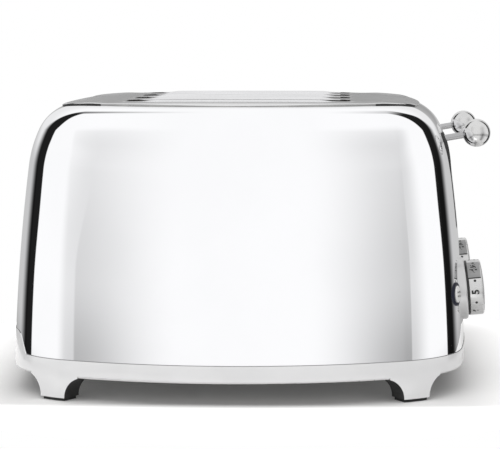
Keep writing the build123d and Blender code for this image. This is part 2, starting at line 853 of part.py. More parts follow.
for side, sign in sides:
    pair_y = sign * pair_centre_y

    # Heat shield: a plain sheet with returned edges between the end plates
    board_bottom_z = end_plate_bottom_z + board_rise
    board_top_z = end_plate_top_z - board_drop
    with BuildPart() as heat_shield:
        with BuildSketch(Plane.XZ.offset(-sign * shield_y)):
            with Locations((0, (board_bottom_z + board_top_z) / 2)):
                Rectangle(2 * end_plate_x, board_top_z - board_bottom_z)
        extrude(amount=board_sheet / 2, both=True)
        with BuildSketch(Plane.XZ.offset(-sign * shield_y)):
            with Locations((0, board_bottom_z), (0, board_top_z)):
                Rectangle(2 * end_plate_x, 2 * board_sheet)
        extrude(amount=2 * board_sheet, both=True)
    heat_shield.part.label = f"{side}_heat_shield"
    export_step(heat_shield.part.moved(to_origin), f"parts/{side}_heat_shield.step")

    # Heater boards: mica sheets with notches for the windings
    with BuildPart() as heater_boards:
        for board_y in (
            pair_y - slot_pitch / 2 - board_offset,
            pair_y,
            pair_y + slot_pitch / 2 + board_offset,
        ):
            with BuildSketch(Plane.XZ.offset(-board_y)):
                with Locations((0, (board_bottom_z + board_top_z) / 2)):
                    Rectangle(2 * end_plate_x, board_top_z - board_bottom_z)
                with Locations((0, board_bottom_z), (0, board_top_z)):
                    with GridLocations(board_notch_pitch, 0, board_notch_count, 1):
                        Rectangle(board_notch, 2 * board_notch, mode=Mode.SUBTRACT)
            extrude(amount=board_sheet / 2, both=True)
    heater_boards.part.label = f"{side}_heater_boards"
    export_step(heater_boards.part.moved(to_origin), f"parts/{side}_heater_boards.step")

    # Bread guards: upright wires on two rails, at both sides of each slot
    guard_bottom_z = end_plate_bottom_z + guard_rise
    guard_top_z = end_plate_top_z - guard_drop
    with BuildPart() as bread_guards:
        for slot_sign in (-1, 1):
            for face_sign in (-1, 1):
                guard_y = pair_y + slot_sign * slot_pitch / 2 + face_sign * guard_offset
                with BuildSketch(Plane.XY.offset(guard_bottom_z)):
                    with Locations((0, guard_y)):
                        with GridLocations(guard_pitch, 0, guard_wire_count, 1):
                            Rectangle(guard_wire, guard_wire)
                extrude(amount=guard_top_z - guard_bottom_z)
                with BuildSketch(Plane.YZ):
                    with Locations(
                        (guard_y, guard_bottom_z + guard_rail_inset),
                        (guard_y, guard_top_z - guard_rail_inset),
                    ):
                        Rectangle(guard_wire, guard_wire)
                extrude(amount=end_plate_x, both=True)
    bread_guards.part.label = f"{side}_bread_guards"
    export_step(bread_guards.part.moved(to_origin), f"parts/{side}_bread_guards.step")

    # Guide rod: stands on the cover and passes the lever end plate's top flange
    guide_y = pair_y + sign * guide_offset
    with BuildPart() as guide_rod:
        with BuildSketch(Plane.XY.offset(cover_top_z)):
            with Locations((guide_x, guide_y)):
                Circle(guide_rod_diameter / 2)
        extrude(amount=end_plate_top_z + end_plate_sheet - cover_top_z)
        chamfer(guide_rod.edges().group_by(Axis.Z)[-1], length=guide_rod_diameter / 10)
    guide_rod.part.label = f"{side}_guide_rod"
    export_step(guide_rod.part.moved(to_origin), f"parts/{side}_guide_rod.step")

    # Return spring: the space that its coils fill, between the carriage's ear and the flange
    spring_y = pair_y + sign * spring_offset
    with BuildPart() as return_spring:
        with BuildSketch(Plane.XY.offset(ear_top_z)):
            with Locations((guide_x, spring_y)):
                Circle(spring_diameter / 2)
                Circle(spring_diameter / 2 - spring_wall, mode=Mode.SUBTRACT)
        extrude(amount=end_plate_top_z - end_plate_sheet - ear_top_z)
    return_spring.part.label = f"{side}_return_spring"
    export_step(return_spring.part.moved(to_origin), f"parts/{side}_return_spring.step")

    # Hold-down magnet: an E-shaped core with a coil round its middle leg
    magnet_y = pair_y + sign * magnet_offset
    with BuildPart() as magnet:
        with BuildSketch(Plane.YZ.offset(guide_x)):
            with Locations((magnet_y, (cover_top_z + magnet_top_z) / 2)):
                Rectangle(magnet_width, magnet_top_z - cover_top_z)
            with Locations((magnet_y, (cover_top_z + magnet_base + magnet_top_z) / 2)):
                with GridLocations(magnet_width / 2, 0, 2, 1):
                    Rectangle(
                        magnet_width / 4,
                        magnet_top_z - cover_top_z - magnet_base,
                        mode=Mode.SUBTRACT,
                    )
        extrude(amount=magnet_core_depth / 2, both=True)
        with BuildSketch(Plane.XY.offset(cover_top_z + magnet_base)):
            with Locations((guide_x, magnet_y)):
                Circle(coil_diameter / 2)
        extrude(amount=(magnet_top_z - cover_top_z - magnet_base) * 3 / 4)
    magnet.part.label = f"{side}_magnet"
    export_step(magnet.part.moved(to_origin), f"parts/{side}_magnet.step")

    # Carriage: plate with the lever's arm, a bush on the guide rod, spring ear and armature
    with BuildPart() as carriage:
        with BuildSketch(Plane.YZ.offset(carriage_x)):
            with Locations((pair_y, carriage_bottom_z + carriage_height / 2)):
                Rectangle(2 * carriage_half_width, carriage_height)
            arm_top_z = lever_z(carriage_face_x) + lever_arm_rise
            with Locations((sign * lever_y, (carriage_bottom_z + arm_top_z) / 2)):
                Rectangle(2 * lever_arm_half_width, arm_top_z - carriage_bottom_z)
            fillet(vertices().group_by(Axis.Y)[-1], radius=lever_arm_half_width / 2)
        extrude(amount=carriage_sheet)
        with BuildSketch(Plane.XY.offset(carriage_bottom_z + guide_bush_rise)):
            with Locations((guide_x, guide_y)):
                Circle(guide_bush_diameter / 2)
            with Locations(((carriage_x + guide_x) / 2, guide_y)):
                Rectangle(guide_x - carriage_x, guide_web)
        extrude(amount=guide_bush_height)
        with BuildSketch(Plane.XY.offset(ear_top_z)):
            with Locations((carriage_x + (carriage_sheet + spring_ear_reach) / 2, spring_y)):
                Rectangle(carriage_sheet + spring_ear_reach, 2 * spring_ear_half_width)
        extrude(amount=-spring_ear_sheet)
        with BuildSketch(Plane.XY.offset(carriage_bottom_z)):
            with Locations((carriage_x + (carriage_sheet + magnet_core_depth) / 2, magnet_y)):
                Rectangle(carriage_sheet + magnet_core_depth, armature_width)
        extrude(amount=armature_sheet)
        with BuildSketch(Plane.XY.offset(carriage_bottom_z)):
            with Locations((guide_x, guide_y)):
                Circle(guide_rod_diameter / 2 + guide_clearance)
        extrude(amount=carriage_height, mode=Mode.SUBTRACT)
    carriage.part.label = f"{side}_carriage"
    export_step(carriage.part.moved(to_origin), f"parts/{side}_carriage.step")

    # Bread racks: a bar along each slot with cross prongs, fixed to the carriage's back
    rack_start_x = -end_plate_x - rack_tip_reach
    with BuildPart() as bread_racks:
        with BuildSketch(Plane.XY.offset(rack_top_z)):
            with Locations(((rack_start_x + carriage_x) / 2, pair_y)):
                with GridLocations(0, slot_pitch, 1, 2):
                    Rectangle(carriage_x - rack_start_x, rack_thickness)
        extrude(amount=-rack_height)
        with BuildSketch(Plane.XY.offset(rack_top_z)):
            with Locations((0, pair_y)):
                with GridLocations(rack_prong_pitch, slot_pitch, rack_prong_count, 2):
                    Rectangle(rack_thickness, rack_prong_width)
        extrude(amount=-rack_prong_height)
    bread_racks.part.label = f"{side}_bread_racks"
    export_step(bread_racks.part.moved(to_origin), f"parts/{side}_bread_racks.step")

    # Lever: the tilted rod from the carriage's arm, and the ball on its end
    ball_centre = Vector(ball_x, sign * lever_y, ball_z)
    lever_direction = (cos(radians(lever_tilt)), 0, sin(radians(lever_tilt)))
    lever_plane = Plane(ball_centre, x_dir=(0, 1, 0), z_dir=lever_direction)
    rod_length = (ball_x - carriage_x) / cos(radians(lever_tilt))
    socket_floor = ball_radius - ball_socket_depth
    with BuildPart() as lever_rod:
        with BuildSketch(lever_plane.offset(-socket_floor)):
            Circle(lever_rod_diameter / 2)
        extrude(amount=socket_floor - rod_length)
        split(bisect_by=Plane.YZ.offset(carriage_face_x), keep=Keep.TOP)
    lever_rod.part.label = f"{side}_lever_rod"
    export_step(lever_rod.part.moved(to_origin), f"parts/{side}_lever_rod.step")

    with BuildPart() as lever_ball:
        with Locations(lever_plane):
            Sphere(ball_radius)
        with BuildSketch(lever_plane.offset(-socket_floor)):
            Circle(lever_rod_diameter / 2 + ball_socket_clearance)
        extrude(amount=-ball_radius, mode=Mode.SUBTRACT)
    lever_ball.part.label = f"{side}_lever_ball"
    export_step(lever_ball.part.moved(to_origin), f"parts/{side}_lever_ball.step")

    # Dial: bezel on the wall, knob in front of it, and the shaft into the timer's pot
    dial = dial_plane(sign)
    dial_axis = Axis(dial.origin, dial.z_dir)
    section = Plane(dial.origin, x_dir=dial.x_dir, z_dir=dial.x_dir.cross(dial.z_dir))
    with BuildPart() as dial_bezel:
        with BuildSketch(dial):
            Circle(bezel_diameter / 2)
            Circle(bezel_spigot_diameter / 2 - bezel_overlap, mode=Mode.SUBTRACT)
        extrude(amount=-bezel_flange_depth)
        fillet(dial_bezel.edges().group_by(dial_axis)[-1].sort_by(SortBy.RADIUS)[-1], bezel_edge_radius)
        add(body_core, mode=Mode.SUBTRACT)
        with BuildSketch(dial):
            Circle(bezel_spigot_diameter / 2)
            Circle(shaft_diameter / 2 + shaft_clearance, mode=Mode.SUBTRACT)
        extrude(amount=-bezel_depth)
    dial_bezel.part.label = f"{side}_dial_bezel"
    export_step(dial_bezel.part.moved(to_origin), f"parts/{side}_dial_bezel.step")

    with BuildPart() as dial_knob:
        knob_radius = knob_diameter / 2
        rim_z = knob_gap + knob_band
        with BuildSketch(section):
            with BuildLine():
                back = Polyline(
                    (0, knob_gap + shaft_grip),
                    (shaft_diameter / 2, knob_gap + shaft_grip),
                    (shaft_diameter / 2, knob_gap),
                    (knob_boss_diameter / 2, knob_gap),
                    (knob_boss_diameter / 2, knob_gap + knob_hollow),
                    (knob_radius - knob_wall, knob_gap + knob_hollow),
                    (knob_radius - knob_wall, knob_gap),
                    (knob_radius, knob_gap),
                )
                band = Line(back @ 1, (knob_radius, rim_z - knob_edge_radius))
                edge = JernArc(band @ 1, (0, 1), knob_edge_radius, 90)
                face = Spline(edge @ 1, (0, rim_z + knob_crown), tangents=[(-1, 0.2), (-1, 0)])
                Line(face @ 1, back @ 0)
            make_face()
        revolve(axis=dial_axis)
    dial_knob.part.label = f"{side}_dial_knob"
    export_step(dial_knob.part.moved(to_origin), f"parts/{side}_dial_knob.step")

    board_front = -control_board_back
    with BuildPart() as timer_pot:
        with BuildSketch(dial.offset(board_front)):
            Circle(pot_diameter / 2)
        extrude(amount=pot_depth)
        with BuildSketch(dial.offset(board_front + pot_depth)):
            Circle(shaft_diameter / 2 + shaft_clearance)
        extrude(amount=-pot_bore_depth, mode=Mode.SUBTRACT)
    timer_pot.part.label = f"{side}_timer_pot"
    export_step(timer_pot.part.moved(to_origin), f"parts/{side}_timer_pot.step")

    shaft_start = board_front + pot_depth - pot_bore_depth + shaft_clearance
    with BuildPart() as dial_shaft:
        with BuildSketch(dial.offset(shaft_start)):
            Circle(shaft_diameter / 2)
        extrude(amount=knob_gap + shaft_grip - shaft_start)
    dial_shaft.part.label = f"{side}_dial_shaft"
    export_step(dial_shaft.part.moved(to_origin), f"parts/{side}_dial_shaft.step")

    # Timer board behind the dial, on two cheeks and a bar from the lever end plate
    board_plane = dial.offset(board_front)
    with BuildPart() as control_board:
        with BuildSketch(board_plane):
            with Locations((-sign * control_board_offset, 0)):
                Rectangle(control_board_width, control_board_height)
        extrude(amount=-control_board_sheet)
    control_board.part.label = f"{side}_control_board"
    export_step(control_board.part.moved(to_origin), f"parts/{side}_control_board.step")

    carrier_start_x = end_plate_x + end_plate_sheet
    cheek_low_z = end_plate_bottom_z + carrier_margin
    cheek_high_z = dial_z + control_board_height / 2 - 2 * carrier_margin
    seat_plane = dial.offset(board_front - control_board_sheet)
    seat_x = seat_plane.origin.X + seat_plane.origin.Z * tan(radians(dial_tilt))
    cheek_inner = lever_y - control_board_offset - control_board_width / 2 + carrier_cheek / 2
    cheek_outer = lever_y - control_board_offset + control_board_width / 2 - carrier_cheek / 2
    with BuildPart() as control_carrier:
        for cheek_y in (cheek_inner, cheek_outer):
            with BuildSketch(Plane.XZ.offset(-sign * cheek_y)):
                with BuildLine():
                    Polyline(
                        (carrier_start_x, cheek_low_z),
                        (seat_x - cheek_low_z * tan(radians(dial_tilt)), cheek_low_z),
                        (seat_x - cheek_high_z * tan(radians(dial_tilt)), cheek_high_z),
                        (carrier_start_x, cheek_high_z),
                        close=True,
                    )
                make_face()
            extrude(amount=carrier_cheek / 2, both=True)
        with BuildSketch(seat_plane):
            with Locations((-sign * control_board_offset, carrier_bar - control_board_height / 2)):
                Rectangle(control_board_width, carrier_bar)
        extrude(amount=-carrier_cheek)
    control_carrier.part.label = f"{side}_control_carrier"
    export_step(control_carrier.part.moved(to_origin), f"parts/{side}_control_carrier.step")


# Push buttons, the bushes they run in and the switches behind them
with BuildPart() as button_rings:
    for plane in buttons.values():
        with BuildSketch(plane.offset(ring_proud)):
            Circle(ring_diameter / 2)
        extrude(amount=-ring_flange_depth)
    add(body_core, mode=Mode.SUBTRACT)
    for plane in buttons.values():
        with BuildSketch(plane.offset(ring_proud)):
            Circle(sleeve_diameter / 2)
        extrude(amount=-sleeve_length)
    for plane in buttons.values():
        with BuildSketch(plane.offset(ring_proud)):
            Circle(button_diameter / 2 + button_clearance)
        extrude(amount=-sleeve_length, mode=Mode.SUBTRACT)
button_rings.part.label = "button_rings"
export_step(button_rings.part.moved(to_origin), "parts/button_rings.step")

button_front = ring_proud + button_proud
stem_length = (
    sleeve_length + button_proud - button_length - button_travel - switch_stem_gap
)
with BuildPart() as button_switches:
    for plane in buttons.values():
        with BuildSketch(plane.offset(ring_proud - sleeve_length)):
            Circle(sleeve_diameter / 2)
        extrude(amount=-switch_length)
        with BuildSketch(plane.offset(ring_proud - sleeve_length)):
            Circle(switch_stem_diameter / 2)
        extrude(amount=stem_length)
button_switches.part.label = "button_switches"
export_step(button_switches.part.moved(to_origin), "parts/button_switches.step")

for label, plane in buttons.items():
    with BuildPart() as button:
        section = Plane(plane.origin, x_dir=plane.x_dir, z_dir=plane.x_dir.cross(plane.z_dir))
        with BuildSketch(section):
            with BuildLine():
                side_line = Polyline(
                    (0, button_front - button_length),
                    (button_diameter / 2, button_front - button_length),
                    (button_diameter / 2, button_front),
                )
                crown = Spline(
                    side_line @ 1,
                    (0, button_front + button_dome),
                    tangents=[(-1, 4 * button_dome / button_diameter), (-1, 0)],
                )
                Line(crown @ 1, side_line @ 0)
            make_face()
        revolve(axis=Axis(plane.origin, plane.z_dir))
    button.part.label = label
    export_step(button.part.moved(to_origin), f"parts/{label}.step")


# Crumb trays: sheet pans behind curved fronts that lie flush in the end panel
for side, sign in sides:
    front_bottom_z = cover_top_z + tray_front_gap
    front_top_z = front_bottom_z + tray_front_height
    pan_bottom_z = cover_top_z + tray_lift
    pan_top_z = pan_bottom_z + tray_height
    with BuildPart() as pan_space:
        with BuildSketch(Plane.XY.offset(pan_bottom_z + tray_sheet)):
            with Locations(((tray_inner_end - tray_sheet - body_half_length) / 2, sign * tray_centre_y)):
                Rectangle(tray_inner_end - tray_sheet + body_half_length, tray_width - 2 * tray_sheet)
        extrude(amount=tray_height)
        add(
            plan_prism(body_plan, tray_front_thickness + tray_sheet, 0, pan_top_z),
            mode=Mode.INTERSECT,
        )

    with BuildPart() as crumb_tray:
        with BuildSketch(Plane.XY.offset(pan_bottom_z)):
            with Locations(((tray_inner_end - body_half_length) / 2, sign * tray_centre_y)):
                Rectangle(tray_inner_end + body_half_length, tray_width)
        extrude(amount=tray_height)
        add(plan_prism(body_plan, tray_front_thickness, 0, pan_top_z), mode=Mode.INTERSECT)
        add(pan_space.part, mode=Mode.SUBTRACT)
    crumb_tray.part.label = f"{side}_crumb_tray"
    export_step(crumb_tray.part.moved(to_origin), f"parts/{side}_crumb_tray.step")

    with BuildPart() as tray_front:
        add(moulding(panel_section, front_bottom_z, front_top_z, tray_front_thickness))
        with BuildSketch(Plane.YZ.offset(-body_half_length - skirt_wall)):
            with Locations((sign * tray_centre_y, (front_bottom_z + front_top_z) / 2)):
                Rectangle(tray_front_width, tray_front_height)
            with Locations((sign * tray_centre_y, front_top_z)):
                Ellipse(scoop_width / 2, scoop_depth, mode=Mode.SUBTRACT)
        extrude(amount=body_half_length / 2, mode=Mode.INTERSECT)
    tray_front.part.label = f"{side}_tray_front"
    export_step(tray_front.part.moved(to_origin), f"parts/{side}_tray_front.step")
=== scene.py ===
"""Retro toaster in polished steel: surfaces, finishes and studio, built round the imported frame."""

from __future__ import annotations

import json
import logging
from dataclasses import dataclass, field
from enum import Enum
from math import atan2, cos, degrees, hypot, pi, radians, sin, sqrt
from typing import Iterable, Sequence, TypeAlias

import bmesh
import bpy
import numpy as np
from mathutils import Matrix, Vector

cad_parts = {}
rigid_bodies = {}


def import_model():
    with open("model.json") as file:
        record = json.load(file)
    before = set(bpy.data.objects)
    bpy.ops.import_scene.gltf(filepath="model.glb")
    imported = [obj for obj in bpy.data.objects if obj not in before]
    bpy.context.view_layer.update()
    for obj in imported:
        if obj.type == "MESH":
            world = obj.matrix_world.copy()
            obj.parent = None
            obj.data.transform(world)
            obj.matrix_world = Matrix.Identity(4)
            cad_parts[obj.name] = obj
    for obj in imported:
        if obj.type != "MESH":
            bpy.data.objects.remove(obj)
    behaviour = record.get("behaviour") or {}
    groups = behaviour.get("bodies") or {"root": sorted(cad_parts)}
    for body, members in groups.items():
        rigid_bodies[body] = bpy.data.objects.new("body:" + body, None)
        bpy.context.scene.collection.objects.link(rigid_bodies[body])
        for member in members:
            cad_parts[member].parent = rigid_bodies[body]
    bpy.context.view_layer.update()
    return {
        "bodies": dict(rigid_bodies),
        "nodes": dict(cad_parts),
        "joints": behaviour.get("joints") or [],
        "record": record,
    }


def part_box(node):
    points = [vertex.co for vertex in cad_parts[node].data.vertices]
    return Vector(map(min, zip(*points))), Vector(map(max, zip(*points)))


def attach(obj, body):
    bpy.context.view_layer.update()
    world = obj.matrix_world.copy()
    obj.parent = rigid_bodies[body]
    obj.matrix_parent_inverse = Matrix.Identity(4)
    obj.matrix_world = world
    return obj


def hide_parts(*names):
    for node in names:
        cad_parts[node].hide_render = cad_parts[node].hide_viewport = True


MM = 0.001
HOUSING = "housing"

# In metres: points this close are one, and edges this short go
MERGE = 2e-6
SLIVER = 1e-7

# A figure's font size over its height, and how much fatter its strokes are, in millimetres
FIGURE_SCALE = 1.38
FIGURE_WEIGHT = 0.28

LOG = logging.getLogger("toaster")
Number: TypeAlias = "float | Wire"
Colour: TypeAlias = "Sequence[float] | Wire"
Profile: TypeAlias = "list[tuple[float, float]]"


class Side(Enum):
    """The two halves of the toaster, by the sign of Y."""

    NEAR = -1
    FAR = 1

    @property
    def label(self) -> str:
        """The word that the frame's names start with."""
        return self.name.lower()


class Shape(Enum):
    """How the columns and rows of a grid close on themselves."""

    OPEN = (False, False)
    RING = (False, True)
    TORUS = (True, True)


# Shader graphs


class Wire:
    """A shader socket that grows Math nodes when it stands in an expression."""

    def __init__(self, graph: "Graph", socket: bpy.types.NodeSocket | None) -> None:
        """Holds a socket of a graph."""
        self.graph = graph
        self.socket = socket

    def math(self, operation: str, *others: Number) -> "Wire":
        """This wire and further inputs, in order, through one Math node."""
        return self.graph.math(operation, self, *others)

    def __add__(self, other: Number) -> "Wire":
        """self + other."""
        return self.math("ADD", other)

    __radd__ = __add__

    def __sub__(self, other: Number) -> "Wire":
        """self - other."""
        return self.math("SUBTRACT", other)

    def __rsub__(self, other: Number) -> "Wire":
        """other - self."""
        return self.graph.math("SUBTRACT", other, self)

    def __mul__(self, other: Number) -> "Wire":
        """self * other."""
        return self.math("MULTIPLY", other)

    __rmul__ = __mul__

    def __truediv__(self, other: Number) -> "Wire":
        """self / other."""
        return self.math("DIVIDE", other)

    def __rtruediv__(self, other: Number) -> "Wire":
        """other / self."""
        return self.graph.math("DIVIDE", other, self)

    def __neg__(self) -> "Wire":
        """0 - self."""
        return 0.0 - self

    def __abs__(self) -> "Wire":
        """The size of self."""
        return self.math("ABSOLUTE")

    def smooth(self, low: float, high: float) -> "Wire":
        """A smooth step.

        Args:
            low: where it leaves 0.
            high: where it reaches 1.

        Returns:
            The step, from 0 to 1.
        """
        inputs = {"Value": self, "From Min": low, "From Max": high}
        settings = {"interpolation_type": "SMOOTHSTEP", "clamp": True}
        return self.graph.add("ShaderNodeMapRange", settings, inputs)

    def between(self, low: float, high: float, soft: float) -> "Wire":
        """1 between low and high, falling to 0 over a soft edge outside them."""
        return self.smooth(low - soft, low) * (1.0 - self.smooth(high, high + soft))


class Graph:
    """The nodes of one material or world."""

    def __init__(self, tree: bpy.types.NodeTree) -> None:
        """Empties a node tree and starts it anew."""
        self.tree = tree
        tree.nodes.clear()

    def add(
        self, kind: str, settings: dict | None = None, inputs: dict | None = None, output: int | str = 0
    ) -> Wire:
        """Makes a node: its settings first, then its sockets.

        Args:
            kind: the node's type.
            settings: attributes of the node.
            inputs: values or wires by socket name or number.
            output: the output socket to return.

        Returns:
            The chosen output as a wire, or an empty wire of a node without outputs.
        """
        node = self.tree.nodes.new(kind)
        for name, value in (settings or {}).items():
            setattr(node, name, value)
        for name, value in (inputs or {}).items():
            if isinstance(value, Wire):
                self.tree.links.new(value.socket, node.inputs[name])
            else:
                node.inputs[name].default_value = value
        return Wire(self, node.outputs[output] if len(node.outputs) else None)

    def place(self, scale: Sequence[float] = (1, 1, 1)) -> Wire:
        """Object coordinates, in metres, stretched by a scale."""
        coordinates = self.add("ShaderNodeTexCoord", output="Object")
        return self.add("ShaderNodeMapping", {}, {"Vector": coordinates, "Scale": tuple(scale)})

    def noise(self, scale: float, stretch: Sequence[float] = (1, 1, 1), detail: float = 3.0) -> Wire:
        """Noise from 0 to 1 with about this many grains in a metre."""
        inputs = {"Vector": self.place(stretch), "Scale": scale, "Detail": detail}
        return self.add("ShaderNodeTexNoise", {}, inputs)

    def math(self, operation: str, *values: Number) -> Wire:
        """A Math node with these inputs, in order."""
        return self.add("ShaderNodeMath", {"operation": operation}, dict(enumerate(values)))

    def split(self, vector: Wire, axis: str) -> Wire:
        """One of the three numbers of a vector."""
        return self.add("ShaderNodeSeparateXYZ", {}, {0: vector}, output=axis)

    def mix(self, amount: Number, low: Colour, high: Colour) -> Wire:
        """A colour between two, by a factor from 0 to 1."""
        ends = [end if isinstance(end, Wire) else (*end, 1.0) for end in (low, high)]
        return self.add("ShaderNodeMix", {"data_type": "RGBA"}, {0: amount, 6: ends[0], 7: ends[1]}, output=2)


@dataclass(frozen=True)
class Finish:
    """A finish made of one Principled shader with grain in its colour, roughness and relief."""

    name: str
    slot: str
    dark: tuple[float, float, float]
    light: tuple[float, float, float]
    metallic: float = 0.0
    roughness: tuple[float, float] = (0.3, 0.4)
    grain: float = 60.0
    stretch: tuple[float, float, float] = (1.0, 1.0, 1.0)
    relief: float = 0.0
    relief_grain: float = 400.0
    coat: float = 0.0
    specular: float = 0.5

    def material(self) -> bpy.types.Material:
        """Makes the material once and hands it out again after that.

        Returns:
            The material, whose name differs from those that the frame brings.
        """
        name = f"{self.name}_finish"
        known = bpy.data.materials.get(name)
        if known:
            return known
        material = bpy.data.materials.new(name)
        material.use_nodes = True
        graph = Graph(material.node_tree)
        amount = graph.noise(self.grain, self.stretch).smooth(0.3, 0.7)
        low, high = self.roughness
        inputs = {
            "Base Color": self.colour(graph, amount),
            "Roughness": low + (high - low) * amount,
            "Metallic": self.metallic,
            "Coat Weight": self.coat,
            "Specular IOR Level": self.specular,
        }
        if self.relief:
            height = graph.noise(self.relief_grain, self.stretch, 4.0)
            inputs["Normal"] = graph.add("ShaderNodeBump", {}, {"Height": height, "Distance": self.relief})
        shader = graph.add("ShaderNodeBsdfPrincipled", {}, inputs)
        graph.add("ShaderNodeOutputMaterial", {}, {"Surface": shader})
        return material

    def colour(self, graph: Graph, amount: Wire) -> Wire:
        """The base colour, between dark and light by the cloud."""
        return graph.mix(amount, self.dark, self.light)


@dataclass(frozen=True)
class WoundMica(Finish):
    """Mica sheet with the bands of flat heating wire that are wound round it."""

    pitch: float = 12.0
    band: float = 1.6
    wire_grey: tuple[float, float, float] = (0.16, 0.15, 0.14)

    def colour(self, graph: Graph, amount: Wire) -> Wire:
        """Mica flakes, darkened in bands at the winding's pitch along X.

        Args:
            graph: the material's nodes.
            amount: the cloud between dark and light flakes.

        Returns:
            The base colour.
        """
        x = graph.split(graph.place(), "X")
        turns = ((x - body_middle()) / (self.pitch * MM) + 0.5).math("FRACT")
        half = self.band / self.pitch / 2
        wire = turns.between(0.5 - half, 0.5 + half, 0.02)
        return graph.mix(wire, graph.mix(amount, self.dark, self.light), self.wire_grey)


MIRROR = Finish(
    "mirror_steel", "polished_steel", (0.955, 0.957, 0.972), (0.975, 0.977, 0.992), metallic=1.0,
    roughness=(0.02, 0.035), grain=14.0,
)
PLATE_STEEL = Finish(
    "plate_steel", "polished_steel", (0.74, 0.74, 0.75), (0.80, 0.80, 0.81), metallic=1.0,
    roughness=(0.08, 0.13), grain=20.0,
)
# Painted shade: the slot throats are near-black steel that stands in for the shade inside the slots
THROAT_SHADE = Finish(
    "baked_steel", "plain_steel", (0.03, 0.028, 0.026), (0.07, 0.065, 0.06), metallic=0.6,
    roughness=(0.5, 0.7), grain=90.0,
)
BALL_STEEL = Finish(
    "ball_steel", "polished_steel", (0.64, 0.64, 0.64), (0.72, 0.72, 0.715), metallic=1.0,
    roughness=(0.10, 0.16), grain=50.0, relief=0.00002, relief_grain=900.0,
)
ROD_STEEL = Finish(
    "rod_steel", "polished_steel", (0.42, 0.42, 0.425), (0.48, 0.48, 0.485), metallic=1.0,
    roughness=(0.08, 0.14),
)
RING_STEEL = Finish(
    "ring_steel", "polished_steel", (0.60, 0.60, 0.60), (0.66, 0.66, 0.66), metallic=1.0,
    roughness=(0.28, 0.36),
)
SATIN = Finish(
    "satin_steel", "satin_steel", (0.64, 0.64, 0.64), (0.69, 0.69, 0.685), metallic=1.0,
    roughness=(0.26, 0.32), grain=300.0, stretch=(0.2, 1.0, 1.0), relief=0.000002, relief_grain=1500.0,
)
MOULDING = Finish(
    "grey_moulding", "grey_moulding", (0.745, 0.745, 0.75), (0.785, 0.785, 0.79),
    roughness=(0.16, 0.24), grain=30.0, coat=0.5,
)
PLAIN = Finish(
    "plain_steel", "plain_steel", (0.42, 0.42, 0.42), (0.56, 0.56, 0.55), metallic=1.0,
    roughness=(0.3, 0.5), grain=45.0, relief=0.00003, relief_grain=500.0,
)
RUBBER = Finish(
    "black_rubber", "black_rubber", (0.012, 0.012, 0.012), (0.03, 0.03, 0.03),
    roughness=(0.6, 0.8), grain=120.0, relief=0.0001, relief_grain=900.0,
)
DARK = Finish(
    "black_plastic", "black_plastic", (0.012, 0.012, 0.012), (0.03, 0.03, 0.03),
    roughness=(0.35, 0.5), grain=80.0, relief=0.00004, relief_grain=700.0,
)
WHITE = Finish(
    "white_plastic", "white_plastic", (0.80, 0.80, 0.79), (0.86, 0.86, 0.85), roughness=(0.2, 0.3), coat=0.2
)
BLUE = Finish(
    "blue_plastic", "blue_plastic", (0.003, 0.004, 0.014), (0.007, 0.009, 0.026),
    roughness=(0.35, 0.45), specular=0.3,
)
BOARD = Finish(
    "circuit_board", "circuit_board", (0.015, 0.09, 0.035), (0.03, 0.16, 0.06),
    roughness=(0.3, 0.45), grain=200.0,
)
IRON = Finish(
    "iron_core", "iron_core", (0.12, 0.115, 0.11), (0.2, 0.19, 0.18), metallic=0.8,
    roughness=(0.4, 0.6), grain=300.0, stretch=(1, 1, 0.05),
)
INK = Finish(
    "black_ink", "black_plastic", (0.012, 0.012, 0.012), (0.02, 0.02, 0.02), roughness=(0.4, 0.5), grain=400.0
)
SHADE_INK = Finish("grey_ink", "black_plastic", (0.29, 0.29, 0.29), (0.33, 0.33, 0.33), grain=400.0)
MICA = WoundMica(
    "wound_mica", "mica", (0.42, 0.36, 0.26), (0.62, 0.55, 0.42), roughness=(0.35, 0.6), grain=160.0
)

# The CAD nodes inside, by the ends of their names, and the finish that each gets
INSIDE: tuple[tuple[Finish, tuple[str, ...]], ...] = (
    (PLAIN, ("end_plate", "heat_shield", "bread_guards", "guide_rod", "return_spring", "carriage")),
    (PLAIN, ("bread_racks", "crumb_tray", "bottom_cover", "bottom_screws", "timer_pot", "dial_shaft")),
    (MICA, ("heater_boards",)),
    (IRON, ("magnet",)),
    (BOARD, ("control_board",)),
    (DARK, ("control_carrier", "cord_gland", "button_switches")),
    (WHITE, ("terminal_block",)),
)


# Meshes


def body_middle() -> float:
    """X of the body's middle in metres: the feet stand evenly round it."""
    low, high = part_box("rubber_feet")
    return (low.x + high.x) / 2


def in_frame(points: np.ndarray) -> np.ndarray:
    """Points given in millimetres from the body's middle, in the frame's metres."""
    return points * MM + (body_middle(), 0.0, 0.0)


def stacked(*parts: np.ndarray | float) -> np.ndarray:
    """Numbers or arrays side by side, along a new last axis."""
    return np.stack(np.broadcast_arrays(*parts), axis=-1)


def outward(lean: np.ndarray | float, angle: np.ndarray | float) -> np.ndarray:
    """Unit directions (cos lean cos angle, cos lean sin angle, sin lean)."""
    return stacked(np.cos(lean) * np.cos(angle), np.cos(lean) * np.sin(angle), np.sin(lean))


def smooth_step(value: np.ndarray) -> np.ndarray:
    """3 t^2 - 2 t^3 of a value clipped to 0 to 1."""
    share = np.clip(value, 0, 1)
    return share**2 * (3 - 2 * share)


def linked(name: str, data: bpy.types.ID) -> bpy.types.Object:
    """Makes an object and links it to the scene.

    Args:
        name: the object's name.
        data: its mesh, curve, camera or light.

    Returns:
        The object.
    """
    thing = bpy.data.objects.new(name, data)
    bpy.context.scene.collection.objects.link(thing)
    return thing


